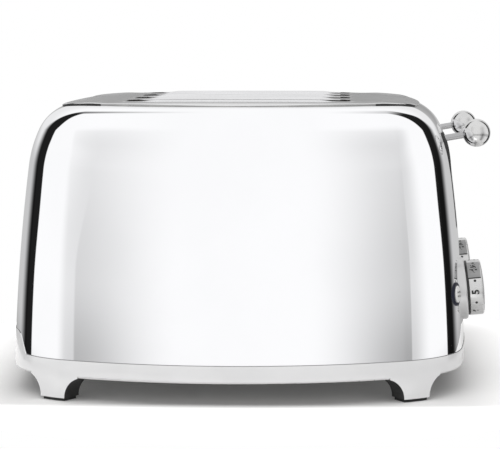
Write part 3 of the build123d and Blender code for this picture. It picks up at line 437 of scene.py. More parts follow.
def add_piece(
    mesh: bpy.types.Mesh, name: str, finish: Finish, body: str, nodes: Iterable[str] = ()
) -> bpy.types.Object:
    """Dresses a mesh, links it, parents it to its body and hides the nodes that it stands for.

    Args:
        mesh: the mesh, in metres.
        name: the piece's name.
        finish: its finish.
        body: the body that it rides on.
        nodes: the CAD nodes that it stands for.

    Returns:
        The piece.
    """
    mesh.materials.clear()
    mesh.materials.append(finish.material())
    piece = linked(name, mesh)
    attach(piece, body)
    nodes = list(nodes)
    if nodes:
        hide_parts(*nodes)
    LOG.info("%s: %d faces", name, len(mesh.polygons))
    return piece


def clean(mesh: bpy.types.Mesh, sharp: float) -> bpy.types.Mesh:
    """Merges a mesh's doubles, turns its faces outwards and marks its sharp edges.

    Args:
        mesh: the mesh, in metres.
        sharp: the angle in degrees past which an edge stays sharp.

    Returns:
        The same mesh.
    """
    work = bmesh.new()
    work.from_mesh(mesh)
    bmesh.ops.remove_doubles(work, verts=work.verts, dist=MERGE)
    bmesh.ops.dissolve_degenerate(work, edges=work.edges, dist=SLIVER)
    bmesh.ops.recalc_face_normals(work, faces=work.faces)
    work.to_mesh(mesh)
    work.free()
    mesh.shade_smooth()
    mesh.set_sharp_from_angle(angle=radians(sharp))
    return mesh


@dataclass
class Surface:
    """Points in millimetres and four-sided faces, before they become a piece."""

    points: np.ndarray
    faces: np.ndarray

    @staticmethod
    def grid(points: np.ndarray, shape: Shape = Shape.OPEN, keep: np.ndarray | None = None) -> "Surface":
        """Joins a grid of points by quads.

        Args:
            points: rows x columns x 3.
            shape: whether rows or columns close on themselves.
            keep: True for each quad that stays.

        Returns:
            The surface.
        """
        rows, columns = points.shape[:2]
        close_rows, close_columns = shape.value
        row = np.arange(rows if close_rows else rows - 1)[:, None]
        column = np.arange(columns if close_columns else columns - 1)[None, :]
        next_row, next_column = (row + 1) % rows, (column + 1) % columns
        faces = stacked(
            row * columns + column,
            row * columns + next_column,
            next_row * columns + next_column,
            next_row * columns + column,
        )
        if keep is not None:
            faces = faces[keep]
        return Surface(points.reshape(-1, 3), faces.reshape(-1, 4))

    def thicken(self, normals: np.ndarray, depth: float) -> "Surface":
        """Gives a sheet its wall: a copy of it moved in along the normals, and quads round every edge.

        Args:
            normals: the outward direction at each point.
            depth: the wall, in millimetres.

        Returns:
            The closed surface.
        """
        count = len(self.points)
        inner = self.points - depth * normals.reshape(-1, 3)
        edges = np.concatenate([self.faces[:, [i, (i + 1) % 4]] for i in range(4)])
        _, first, times = np.unique(np.sort(edges, axis=1), axis=0, return_index=True, return_counts=True)
        rim = edges[first[times == 1]]
        wall = stacked(rim[:, 1], rim[:, 0], rim[:, 0] + count, rim[:, 1] + count)
        faces = np.concatenate([self.faces, self.faces[:, ::-1] + count, wall])
        return Surface(np.concatenate([self.points, inner]), faces)

    def __add__(self, other: "Surface") -> "Surface":
        """Both surfaces in one."""
        faces = np.concatenate([self.faces, other.faces + len(self.points)])
        return Surface(np.concatenate([self.points, other.points]), faces)

    def piece(
        self, name: str, finish: Finish, body: str, nodes: Iterable[str] = (), sharp: float = 35.0
    ) -> bpy.types.Object:
        """Makes the piece, with doubles merged, faces outwards and sharp edges marked.

        Args:
            name: the piece's name.
            finish: its finish.
            body: the body that it rides on.
            nodes: the CAD nodes that it stands for.
            sharp: the angle in degrees past which an edge stays sharp.

        Returns:
            The piece.
        """
        mesh = bpy.data.meshes.new(name)
        mesh.from_pydata(in_frame(self.points).tolist(), [], self.faces.tolist())
        return add_piece(clean(mesh, sharp), name, finish, body, nodes)


def turned(
    profile: Sequence[tuple[float, float]], origin: Sequence[float], axis: Sequence[float], segments: int = 96
) -> Surface:
    """A turned surface: each (radius, along) of the profile goes round the axis in a circle.

    Point = origin + along * axis + radius * (cos(angle) * u + sin(angle) * v).

    Args:
        profile: (radius, along) pairs in millimetres.
        origin: a point on the axis.
        axis: the axis's direction.
        segments: points round the circle.

    Returns:
        The surface, open where the profile is.
    """
    direction = np.array(axis, float) / np.linalg.norm(axis)
    u = np.cross(direction, (0.0, 0.0, 1.0))
    u /= np.linalg.norm(u)
    v = np.cross(direction, u)
    turn = np.linspace(0, 2 * pi, segments, endpoint=False)[:, None]
    spokes = np.cos(turn) * u + np.sin(turn) * v
    radius, along = np.array(profile, float).T[:, :, None, None]
    return Surface.grid(np.array(origin, float) + along * direction + radius * spokes, Shape.RING)


def arc_points(centre: tuple[float, float], radius: float, start: float, end: float, steps: int) -> Profile:
    """Points on a circle's arc: centre + radius * (cos(angle), sin(angle)).

    Args:
        centre: the circle's centre.
        radius: its radius.
        start: the first angle in degrees.
        end: the last angle in degrees.
        steps: how many parts the arc has.

    Returns:
        The points in order.
    """
    turn = np.radians(np.linspace(start, end, steps + 1))
    return list(zip(centre[0] + radius * np.cos(turn), centre[1] + radius * np.sin(turn)))


def walk_round(arcs: Sequence[np.ndarray], runs: Sequence[int]) -> np.ndarray:
    """Joins corner arcs by straight runs of even steps into one closed loop.

    Args:
        arcs: the corners' points, in order.
        runs: the steps of the run after an even and an odd corner.

    Returns:
        The loop's points.
    """
    points = []
    for number, arc in enumerate(arcs):
        steps = runs[number % 2]
        share = (np.arange(1, steps) / steps)[:, None]
        points += [arc, arc[-1] + share * (arcs[(number + 1) % len(arcs)][0] - arc[-1])]
    return np.concatenate(points)


@dataclass(frozen=True)
class Outline:
    """A closed plan of bowed sides and rounded corners, symmetric about X and Y, in millimetres."""

    half_length: float
    half_depth: float
    side_radius: float
    end_radius: float
    corner_radius: float

    @property
    def side_y(self) -> float:
        """Y of the centre of the long side's arc."""
        return self.half_depth - self.side_radius

    @property
    def end_x(self) -> float:
        """X of the centre of the end's arc."""
        return self.half_length - self.end_radius

    def corner(self) -> tuple[float, float, float, float]:
        """Finds the corner arc that touches both bowed sides.

        Its centre lies where the circles of radius (side - corner) and (end - corner) cross.

        Returns:
            The centre's x and y, and the angles where the side and the end take over.
        """
        apart = hypot(self.end_x, self.side_y)
        side_reach = self.side_radius - self.corner_radius
        end_reach = self.end_radius - self.corner_radius
        along = (side_reach**2 - end_reach**2 + apart**2) / (2 * apart)
        across = sqrt(side_reach**2 - along**2)
        ux, uy = self.end_x / apart, -self.side_y / apart
        x = along * ux + across * uy
        y = self.side_y + along * uy - across * ux
        return x, y, atan2(y - self.side_y, x), atan2(y, x - self.end_x)

    def stations(self, end_steps: int, corner_steps: int, side_steps: int) -> np.ndarray:
        """Rows of (centre x, centre y, radius, angle) round the outline, from the +X end's start.

        Args:
            end_steps: columns over each end.
            corner_steps: columns over each corner.
            side_steps: columns over each long side.

        Returns:
            One row per column of a grid carried round the outline.
        """
        x, y, side_angle, end_angle = self.corner()
        turn = side_angle - end_angle
        side = pi - 2 * side_angle
        rows = []
        for half, sign in ((0.0, 1), (pi, -1)):
            arcs = (
                (sign * self.end_x, 0.0, self.end_radius, half - end_angle, 2 * end_angle, end_steps),
                (sign * x, sign * y, self.corner_radius, half + end_angle, turn, corner_steps),
                (0.0, sign * self.side_y, self.side_radius, half + side_angle, side, side_steps),
                (-sign * x, sign * y, self.corner_radius, half + pi - side_angle, turn, corner_steps),
            )
            for cx, cy, radius, start, size, steps in arcs:
                rows.append(stacked(cx, cy, radius, start + size * np.arange(steps) / steps))
        return np.concatenate(rows)

    def inset_at(self, x: np.ndarray, y: np.ndarray) -> np.ndarray:
        """How far inside the outline points lie: the facing arc's radius less the way to its centre.

        Args:
            x: the points' x.
            y: the points' y.

        Returns:
            The insets in millimetres.
        """
        corner_x, corner_y, side_angle, end_angle = self.corner()
        x, y = np.abs(x), np.abs(y)
        by_end = self.end_radius - np.hypot(x - self.end_x, y)
        by_side = self.side_radius - np.hypot(x, y - self.side_y)
        by_corner = self.corner_radius - np.hypot(x - corner_x, y - corner_y)
        on_end = np.arctan2(y, x - self.end_x) < end_angle
        on_side = np.arctan2(y - self.side_y, x) > side_angle
        return np.where(on_end, by_end, np.where(on_side, by_side, by_corner))


def moved_in(stations: np.ndarray, inset: np.ndarray | float, angle: np.ndarray) -> np.ndarray:
    """Plan points at a station's centre + (radius - inset) * (cos(angle), sin(angle)).

    Args:
        stations: rows of an outline.
        inset: how far inside the outline, for each point.
        angle: the points' angles.

    Returns:
        The points' x and y.
    """
    reach = stations[:, 2] - inset
    return stacked(stations[:, 0] + reach * np.cos(angle), stations[:, 1] + reach * np.sin(angle))


@dataclass(frozen=True)
class WallShape:
    """The body's upright section: three tangent arcs that lean in more and more, in millimetres."""

    seam_z: float = 28.9
    wall_top_z: float = 160.0
    shoulder_z: float = 186.0
    lean_low: float = 2.1
    lean_high: float = 7.5
    shoulder_lean: float = 26.0
    crown_radius: float = 30.0

    @property
    def arcs(self) -> tuple[tuple[float, float, float], ...]:
        """Works out the three arcs, from the seam up.

        A radius is the arc's rise over the growth of sin(lean); the crown's is given.

        Returns:
            Each arc's foot z, the lean there in radians and the radius.
        """
        feet = (self.seam_z, self.wall_top_z, self.shoulder_z)
        leans = [radians(lean) for lean in (self.lean_low, self.lean_high, self.shoulder_lean)]
        wall, shoulder = ((feet[i + 1] - feet[i]) / (sin(leans[i + 1]) - sin(leans[i])) for i in (0, 1))
        return tuple(zip(feet, leans, (wall, shoulder, self.crown_radius)))

    @property
    def crown_z(self) -> float:
        """Height of the crown."""
        return self.shoulder_z + self.crown_radius * (1 - sin(radians(self.shoulder_lean)))

    def at(self, z: np.ndarray | float) -> tuple[np.ndarray, np.ndarray]:
        """Works out the wall at heights up to the crown.

        On each arc, sin(lean) grows evenly with height, and the inset is the radius times the
        loss of cos(lean).

        Args:
            z: heights.

        Returns:
            The insets, and the leans in radians.
        """
        z = np.asarray(z, float)
        arcs = self.arcs
        inset, lean = np.zeros_like(z), np.zeros_like(z)
        start_inset = 0.0
        for number, (foot, foot_lean, radius) in enumerate(arcs):
            here = np.arcsin(np.clip(sin(foot_lean) + (z - foot) / radius, -1, 1))
            on_arc = (z >= foot) | (number == 0)
            inset = np.where(on_arc, start_inset + radius * (cos(foot_lean) - np.cos(here)), inset)
            lean = np.where(on_arc, here, lean)
            if number < 2:
                start_inset += radius * (cos(foot_lean) - cos(arcs[number + 1][1]))
        return inset, lean

    def height(self, inset: np.ndarray) -> np.ndarray:
        """Height of the crown over an inset, flat past the crown's own.

        Args:
            inset: how far inside the body's outline.

        Returns:
            The heights.
        """
        short = np.clip(float(self.at(self.crown_z)[0]) - inset, 0, self.crown_radius)
        return self.crown_z - self.crown_radius + np.sqrt(self.crown_radius**2 - short**2)


BODY_PLAN = Outline(166.5, 186.0, 300.0, 850.0, 72.0)
PLATE_PLAN = Outline(132.7, 143.0, 230.0, 700.0, 42.0)
WALL = WallShape()
LEVER_Y = 75.0


# Sub-assemblies


@dataclass
class BodyWrap:
    """The polished wrap: bowed walls, rounded shoulder, lever slots and openings, in millimetres."""

    foot_z: float = 29.3
    sheet: float = 1.0
    land: float = 8.0
    land_steps: int = 3
    slot_half: float = 3.5
    slot_low: float = 116.7
    slot_high: float = 177.6
    dial_z: float = 68.21
    dial_hole: float = 18.0
    panel_half: float = 122.0
    panel_top: float = 41.0
    steady_y: float = 84.0
    end_face_x: float = 100.0
    last_lean: float = 88.0
    row_counts: tuple[int, int, int] = (20, 24, 44)
    column_counts: tuple[int, int, int] = (61, 9, 13)
    steps: tuple[int, int, int] = (120, 56, 96)
    lining_steps: tuple[int, int] = (17, 24)
    lining_section: tuple[tuple[float, float], ...] = (
        (3.2, -3.0), (3.2, 1.0), (3.4, 1.3), (4.0, 1.3), (4.2, 1.0), (4.2, -0.6), (3.6, -1.2)
    )
    lining_rise: tuple[float, float] = (150.0, 172.0)
    lining_foot: float = 0.15

    def heights(self) -> np.ndarray:
        """Spaces the rows, with rows at both ends of the lever slots.

        Returns:
            The rows' heights, closer together where the shoulder turns in.
        """
        low, high = self.slot_low, self.slot_high
        below, beside, above = self.row_counts
        leans = np.radians(np.linspace(WALL.shoulder_lean, self.last_lean, above))
        return np.concatenate(
            [
                np.linspace(self.foot_z, low - 5, below, endpoint=False),
                [low - 5, low],
                np.linspace(low + 2, high - 2, beside),
                [high, high + 4.6],
                WALL.crown_z - WALL.crown_radius * (1 - np.sin(leans)),
            ]
        )

    def end_columns(self, edge_y: float) -> np.ndarray:
        """Spaces the columns on the lever end, close together at the slots.

        Args:
            edge_y: where the end's arc stops.

        Returns:
            The columns' y at the foot, without the last.
        """
        low, high = LEVER_Y - self.slot_half, LEVER_Y + self.slot_half
        between, over_slot, outside = self.column_counts
        half = np.concatenate([np.linspace(low, high, over_slot)[1:], np.linspace(high, edge_y, outside)[1:]])
        return np.concatenate([-half[::-1], np.linspace(-low, low, between), half])[:-1]

    def build(self) -> None:
        """Lays rows of heights on columns round the plan and cuts the openings out of the grid.

        At the slots' ends the rows bend by sqrt(half^2 - across^2), which rounds the slots. On the
        lever end the columns keep their y all the way up, and towards the corners they follow the
        end's arc, y * (radius - inset) / radius.
        """
        radius = BODY_PLAN.end_radius
        edge_y = radius * sin(BODY_PLAN.corner()[3])
        ys = self.end_columns(edge_y)
        end = stacked(BODY_PLAN.end_x, 0.0, radius, np.arcsin(ys / radius))
        stations = np.concatenate([end, BODY_PLAN.stations(*self.steps)[self.steps[0] :]])
        rows = self.heights()
        z = np.repeat(rows[:, None], len(stations), axis=1)
        across = np.clip(np.abs(np.abs(ys) - LEVER_Y), 0, self.slot_half)
        reach = np.sqrt(self.slot_half**2 - across**2)
        z[np.argmin(np.abs(rows - self.slot_low)), : len(ys)] -= reach
        z[np.argmin(np.abs(rows - self.slot_high)), : len(ys)] += reach
        inset, lean = WALL.at(z)
        angle = np.repeat(stations[None, :, 3], len(rows), axis=0)
        left = radius - inset[:, : len(ys)]
        steady = 1 - np.clip((np.abs(ys) - self.steady_y) / (edge_y - self.steady_y), 0, 1)
        angle[:, : len(ys)] = np.arcsin(ys * (steady + (1 - steady) * left / radius) / left)
        land = np.ones((self.land_steps, len(stations)))
        flat = np.linspace(0, self.land, self.land_steps + 1)[1:, None]
        inset = np.concatenate([inset, inset[-1].mean() + flat * land])
        lean = np.concatenate([lean, pi / 2 * land])
        z = np.concatenate([z, WALL.crown_z * land])
        angle = np.concatenate([angle, angle[-1:] * land])
        points = np.concatenate([moved_in(stations, inset, angle), z[..., None]], axis=-1)
        beside = np.roll(points, -1, 1)
        middle = (points[:-1] + points[1:] + beside[:-1] + beside[1:]) / 4
        sheet = Surface.grid(points, Shape.RING, ~self.open_at(middle))
        sheet = sheet.thicken(outward(lean, angle), self.sheet)
        sheet.piece("steel_wrap", MIRROR, HOUSING, ["body_shell"])
        for side in Side:
            self.lining(side)

    def lining(self, side: Side) -> None:
        """Builds the dark lining that frames one lever slot.

        Its section goes round the slot's rounded outline: each (half width, proud) moves the
        outline out by the half width and off the wall, along the wall's normal, by proud, which
        grows from a seventh to the whole up the slot.

        Args:
            side: the lever's side.
        """
        arc, run = self.lining_steps
        turn = np.radians(np.linspace(0, 180, arc))
        rise = np.linspace(self.slot_low, self.slot_high, run + 2)[1:-1]
        height = np.concatenate([np.full(arc, self.slot_high), rise[::-1], np.full(arc, self.slot_low), rise])
        across = np.concatenate([np.cos(turn), -np.ones(run), -np.cos(turn), np.ones(run)])
        up = np.concatenate([np.sin(turn), np.zeros(run), -np.sin(turn), np.zeros(run)])
        low, high = self.lining_rise
        rings = []
        for half, proud in self.lining_section:
            y = side.value * LEVER_Y + half * across
            z = height + half * up
            inset, lean = WALL.at(z)
            reach = BODY_PLAN.end_radius - inset
            angle = np.arcsin(y / reach)
            share = np.clip((z - low) / (high - low), 0, 1)
            grown = self.lining_foot + (1 - self.lining_foot) * share
            lift = proud * (grown if proud > 0 else np.ones_like(z))
            x = BODY_PLAN.end_x + reach * np.cos(angle)
            rings.append(stacked(x, y, z) + lift[:, None] * outward(lean, angle))
        lining = Surface.grid(np.array(rings), Shape.TORUS)
        lining.piece(f"{side.label}_slot_lining", DARK, HOUSING, ["body_shell"])

    def open_at(self, middle: np.ndarray) -> np.ndarray:
        """Tells which quads are cut out: lever slots, dial holes and the end panel's place.

        Args:
            middle: the quads' middles.

        Returns:
            True for each quad that goes.
        """
        x, y, z = middle[..., 0], np.abs(middle[..., 1]), middle[..., 2]
        across = np.abs(y - LEVER_Y)
        low, high = self.slot_low - self.slot_half, self.slot_high + self.slot_half
        slot = (across < self.slot_half) & (z > low) & (z < high)
        dial = np.hypot(across, z - self.dial_z) < self.dial_hole
        panel = (y < self.panel_half) & (z < self.panel_top)
        return (x > self.end_face_x) & (slot | dial) | (x < -self.end_face_x) & panel


@dataclass
class SlottedPlate:
    """The arched top plate with four raised slot rims and their throats, in millimetres."""

    rise: float = 2.85
    end_fall: float = 4.0
    side_fall: float = 1.9
    corner_lift: float = 0.8
    slot_pitch: float = 60.0
    slot_length: float = 160.0
    slot_width: float = 34.0
    slot_radius: float = 7.0
    rim_height: float = 0.9
    rim_foot: float = 0.05
    rim_width: float = 2.6
    rim_run_out: float = 11.0
    rim_steps: int = 11
    rim_power: float = 0.8
    throat: float = 7.0
    throat_lip: float = 0.4
    cell_shares: tuple[float, ...] = (0.15, 0.4, 0.7, 1.0)
    cell_half_length: float = 92.0
    corner_steps: int = 10
    runs: tuple[int, int] = (12, 40)
    edge_inset: float = 0.6
    edge_round: float = 0.5
    edge_angles: tuple[int, ...] = (20, 45, 70, 90)
    edge_steps: tuple[int, int, int] = (60, 30, 80)
    seal_insets: tuple[float, float] = (0.1, 2.5)
    seal_gap: float = 0.05
    corner_start: tuple[float, float] = (88.0, 80.0)
    corner_fade: tuple[float, float] = (18.0, 25.0)

    def dome(self, x: np.ndarray, y: np.ndarray) -> np.ndarray:
        """Height of the plate's face.

        It falls from the middle with the fourth power of the share of the way to the end and the
        eighth to the side, so that it is nearly flat over the slots and turns down at the edge;
        the corners stand a little off the body.

        Args:
            x: the points' x.
            y: the points' y.

        Returns:
            The heights.
        """
        to_end = np.abs(x) / PLATE_PLAN.half_length
        to_side = np.abs(y) / PLATE_PLAN.half_depth
        top = WALL.crown_z + self.rise + self.corner_lift * self.cornerness(x, y)
        return top - self.end_fall * to_end**4 - self.side_fall * to_side**8

    def cornerness(self, x: np.ndarray, y: np.ndarray) -> np.ndarray:
        """Tells the plate's four corners from the rest of it.

        Args:
            x: the points' x.
            y: the points' y.

        Returns:
            1 at the corners, 0 elsewhere, with smooth steps between.
        """
        along = smooth_step((np.abs(x) - self.corner_start[0]) / self.corner_fade[0])
        across = smooth_step((np.abs(y) - self.corner_start[1]) / self.corner_fade[1])
        return along * across

    def loop(self, grow: float) -> np.ndarray:
        """A rounded rectangle round the slot, from the +X side's lower corner.

        Args:
            grow: how far outside the slot's edge it runs.

        Returns:
            The points' x and y.
        """
        x = self.slot_length / 2 - self.slot_radius
        y = self.slot_width / 2 - self.slot_radius
        centres = ((x, -y, -90), (x, y, 0), (-x, y, 90), (-x, -y, 180))
        radius = self.slot_radius + grow
        arcs = [
            np.array(arc_points((cx, cy), radius, start, start + 90, self.corner_steps))
            for cx, cy, start in centres
        ]
        return walk_round(arcs, self.runs)

    def cell(self) -> np.ndarray:
        """The slot's rectangular cell, with as many points as the loop, matched by corner.

        Returns:
            The points' x and y.
        """
        x, y = self.cell_half_length, self.slot_pitch / 2
        inner_x = self.slot_length / 2 - self.slot_radius
        inner_y = self.slot_width / 2 - self.slot_radius
        away = np.linspace(0, 1, self.corner_steps // 2 + 1)[:, None]
        arcs = []
        for number, sign in enumerate(np.array(((1, -1), (1, 1), (-1, 1), (-1, -1)))):
            tip = sign * (x, y)
            ends = [sign * (inner_x, y), sign * (x, inner_y)]
            first, last = ends if number % 2 == 0 else ends[::-1]
            arcs.append(np.concatenate([first + away * (tip - first), (tip + away * (last - tip))[1:]]))
        return walk_round(arcs, self.runs)

    def rim_rise(self, x: np.ndarray) -> np.ndarray:
        """How high the rim stands at x: full, running out smoothly at the slot's ends.

        Args:
            x: the points' x.

        Returns:
            The heights over the plate.
        """
        start = self.slot_length / 2 - 2 * self.rim_run_out
        share = 1 - smooth_step((np.abs(x) - start) / self.rim_run_out)
        return self.rim_foot + (self.rim_height - self.rim_foot) * share

    def slot_patch(self, centre_y: float) -> tuple[Surface, Surface]:
        """One slot's throat, and the plate from there over the rim to the cell's edge.

        The rim's section is half an oval: its distance from the slot's edge is
        width / 2 * (1 + cos(angle)) and its height is rise * sin(angle)^power.

        Args:
            centre_y: the slot's y.

        Returns:
            The throat and the patch.
        """
        base = self.loop(0.0)
        levels = [(base, -drop) for drop in (self.throat, self.throat / 2, self.throat_lip)]
        for angle in np.radians(np.linspace(180, 0, self.rim_steps)):
            flat = self.loop(self.rim_width / 2 * (1 + cos(angle)))
            levels.append((flat, self.rim_rise(flat[:, 0]) * sin(angle) ** self.rim_power))
        last, cell = levels[-1][0], self.cell()
        levels += [(last + share * (cell - last), 0.0) for share in self.cell_shares]
        rings = []
        for flat, rise in levels:
            x, y = flat[:, 0], flat[:, 1] + centre_y
            rings.append(stacked(x, y, self.dome(x, y) + rise))
        rings = np.array(rings)
        return Surface.grid(rings[:3], Shape.RING), Surface.grid(rings[2:], Shape.RING)

    def border(self) -> tuple[Surface, np.ndarray]:
        """The plate from the cells' common edge out to its rounded rim, and its seal.

        Straight rows lead from the rectangle to the outline; the rim falls by
        round * (1 - cos(angle)) while it goes out by round * sin(angle).

        Returns:
            The border, and the rings of points of the seal under it.
        """
        stations = PLATE_PLAN.stations(*self.edge_steps)
        angles = stations[:, 3]
        outer, edge = (moved_in(stations, inset, angles) for inset in (0.0, self.edge_inset))
        half_x, half_y = self.cell_half_length, 2 * self.slot_pitch
        turn = np.arctan2(outer[:, 1] * half_x, outer[:, 0] * half_y)
        scale = 1 / np.maximum(np.abs(np.cos(turn)), np.abs(np.sin(turn)))
        inner = stacked(half_x * np.cos(turn) * scale, half_y * np.sin(turn) * scale)
        levels = [(inner + share * (edge - inner), 0.0) for share in np.linspace(0, 1, 9)]
        for angle in np.radians(self.edge_angles):
            flat = moved_in(stations, self.edge_inset - sin(angle) * self.edge_round, angles)
            levels.append((flat, self.edge_round * (1 - cos(angle))))
        rings = [stacked(*flat.T, self.dome(*flat.T) - fall) for flat, fall in levels]
        for inset in self.seal_insets:
            flat = moved_in(stations, inset, angles)
            rings.append(stacked(*flat.T, WALL.height(BODY_PLAN.inset_at(*flat.T)) + self.seal_gap))
        return Surface.grid(np.array(rings[:-2]), Shape.RING), np.array(rings[-3:])

    def build(self) -> None:
        """Joins the border and the four slot patches, and makes the seals, black under the corners as painted
        shadow, and the throats, dark as painted shade.
        """
        throats, patches = zip(*(self.slot_patch(row * self.slot_pitch) for row in (-1.5, -0.5, 0.5, 1.5)))
        border, seal = self.border()
        sum(patches, border).piece("slotted_plate", PLATE_STEEL, HOUSING, ["top_plate"], sharp=50.0)
        # Painted shadow: the seal under the plate's lifted corners is black, in place of the shadow in the
        # gap there; elsewhere it is plain steel
        at_corner = self.cornerness(seal[:-1, :, 0], seal[:-1, :, 1]) > 0.4
        for name, finish, keep in (("plate_seal", PLAIN, ~at_corner), ("corner_seals", DARK, at_corner)):
            Surface.grid(seal, Shape.RING, keep).piece(name, finish, HOUSING, ["top_plate"])
        # The throats wear the painted shade finish
        sum(throats[1:], throats[0]).piece("slot_throats", THROAT_SHADE, HOUSING, ["top_plate"])


@dataclass
class DressedNode:
    """CAD nodes that keep their shape: a merged copy with softened edges stands for each."""

    finish: Finish
    body: str
    nodes: tuple[str, ...]
    bevel: float = 0.4
    sharp: float = 30.0
    # A finish for the faces that look inwards or down; on the skirt it is black as painted shade
    inner: Finish | None = None
    outward_from: float = 0.3

    def darken_inside(self, mesh: bpy.types.Mesh) -> None:
        """Paints shade: gives the inner finish to every face that doesn't look away from the body's middle.

        Args:
            mesh: the dressed mesh.
        """
        mesh.materials.append(self.inner.material())
        for polygon in mesh.polygons:
            away = Vector((polygon.center.x - body_middle(), polygon.center.y, 0.0)).normalized()
            if polygon.normal.dot(away) < self.outward_from:
                polygon.material_index = 1

    def build(self, frame: dict) -> None:
        """Copies each node's mesh, merges its triangles and rounds its edges.
        """
        for name in self.nodes:
            mesh = clean(frame["nodes"][name].data.copy(), self.sharp)
            piece = add_piece(mesh, f"{name}_dressed", self.finish, self.body, [name])
            if self.inner:
                self.darken_inside(mesh)
            soften = piece.modifiers.new("edges", "BEVEL")
            soften.width = self.bevel * MM
            soften.segments = 3
            soften.limit_method = "ANGLE"
            soften.angle_limit = radians(self.sharp)
            soften.use_clamp_overlap = True


@dataclass
class LeverGrip:
    """One lever: the tilted polished rod and the ball on its end, in millimetres."""

    side: Side
    tilt: float = 9.6
    rod_radius: float = 2.35
    rod_start_x: float = 103.0
    rod_gap: float = 0.4
    ball_radius: float = 10.1
    ball_x: float = 171.3
    ball_z: float = 181.5
    socket: float = 3.2
    bore_gap: float = 0.05

    def build(self) -> None:
        """Turns the rod and the ball round the lever's axis."""
        side, deep, thick = self.side.label, -self.socket, self.rod_radius
        direction = (cos(radians(self.tilt)), 0.0, sin(radians(self.tilt)))
        centre = (self.ball_x, self.side.value * LEVER_Y, self.ball_z)
        start = (self.rod_start_x - self.ball_x) / direction[0] + self.rod_gap
        turned([(0.0, start), (thick, start), (thick, deep), (0.0, deep)], centre, direction, 48).piece(
            f"{side}_lever_rod_turned", ROD_STEEL, f"{side}_lever", [f"{side}_lever_rod"]
        )
        neck = degrees(atan2(thick + 2 * self.bore_gap, self.ball_radius))
        ball = arc_points((0, 0), self.ball_radius, neck - 90, 90, 48)
        bore = thick + self.bore_gap
        ball = [(0.0, deep), (bore, deep), (bore, ball[0][1] + 0.3), *ball[:-1], (0.0, self.ball_radius)]
        turned(ball, centre, direction).piece(
            f"{side}_lever_ball_turned", BALL_STEEL, f"{side}_lever", [f"{side}_lever_ball"]
        )


@dataclass
class PrintedMarks:
    """Flat marks wrapped round a band and joined in one piece, in millimetres."""

    centre: np.ndarray
    axis: np.ndarray
    along: float
    radius: float
    points: list = field(default_factory=list)
    faces: list = field(default_factory=list)

    def add(self, mark: bpy.types.Mesh, place: float) -> None:
        """Wraps one flat mark round the band and drops its mesh.

        A flat (x, y) goes to centre + (along + x) * axis + radius * (cos(turn) * (-Y) +
        sin(turn) * up), where turn = place + y / radius.

        Args:
            mark: a flat mesh, whose x goes along the axis and whose y goes round.
            place: the angle of its middle in degrees, from -Y towards the top.
        """
        flat = np.empty((len(mark.vertices), 3), np.float32)
        mark.vertices.foreach_get("co", flat.ravel())
        flat = flat[:, :2].astype(float)
        sideways = np.array((0.0, -1.0, 0.0))
        turn = radians(place) + flat[:, 1:] / self.radius
        spokes = np.cos(turn) * sideways + np.sin(turn) * np.cross(sideways, self.axis)
        start = sum(len(points) for points in self.points)
        self.points.append(self.centre + (self.along + flat[:, :1]) * self.axis + self.radius * spokes)
        self.faces += [[start + index for index in polygon.vertices] for polygon in mark.polygons]
        bpy.data.meshes.remove(mark)

    def piece(self, name: str, finish: Finish, body: str) -> None:
        """Makes one piece of all marks, which faces the way its flat meshes did.

        Args:
            name: the piece's name.
            finish: its ink.
            body: the body that it rides on.
        """
        mesh = bpy.data.meshes.new(name)
        mesh.from_pydata(in_frame(np.concatenate(self.points)).tolist(), [], self.faces)
        add_piece(mesh, name, finish, body)


def strip_mesh(length: float, width: float, steps: int = 2) -> bpy.types.Mesh:
    """A flat strip round the origin, in millimetres.

    Args:
        length: its size along x.
        width: its size along y.
        steps: the even parts that its width is cut in.

    Returns:
        The mesh.
    """
    mesh = bpy.data.meshes.new("strip")
    rows = np.linspace(-width / 2, width / 2, steps + 1)[:, None]
    points = stacked(np.array((-length / 2, length / 2)), rows, 0.0)
    faces = 2 * np.arange(steps)[:, None] + (0, 1, 3, 2)
    mesh.from_pydata(points.reshape(-1, 3).tolist(), [], faces.tolist())
    return mesh


def disc_mesh(radius: float, corners: int = 20) -> bpy.types.Mesh:
    """A flat disc round the origin, in millimetres.

    Args:
        radius: its radius.
        corners: the points on its rim.

    Returns:
        The mesh.
    """
    mesh = bpy.data.meshes.new("disc")
    turn = np.linspace(0, 2 * pi, corners, endpoint=False)
    points = stacked(radius * np.cos(turn), radius * np.sin(turn), 0.0)
    mesh.from_pydata(points.tolist(), [], [list(range(corners))])
    return mesh


def text_mesh(text: str, height: float) -> bpy.types.Mesh:
    """A figure as a flat mesh in millimetres, centred on its middle, that reads along y.

    Args:
        text: the figure.
        height: about its height.

    Returns:
        The mesh.
    """
    curve = bpy.data.curves.new("figure", "FONT")
    curve.body = text
    curve.size = height * FIGURE_SCALE
    curve.align_x = "CENTER"
    curve.align_y = "CENTER"
    curve.offset = FIGURE_WEIGHT
    carrier = linked("figure", curve)
    mesh = bpy.data.meshes.new_from_object(carrier)
    bpy.data.objects.remove(carrier)
    bpy.data.curves.remove(curve)
    mesh.transform(Matrix.Rotation(pi / 2, 4, "Z"))
    return mesh


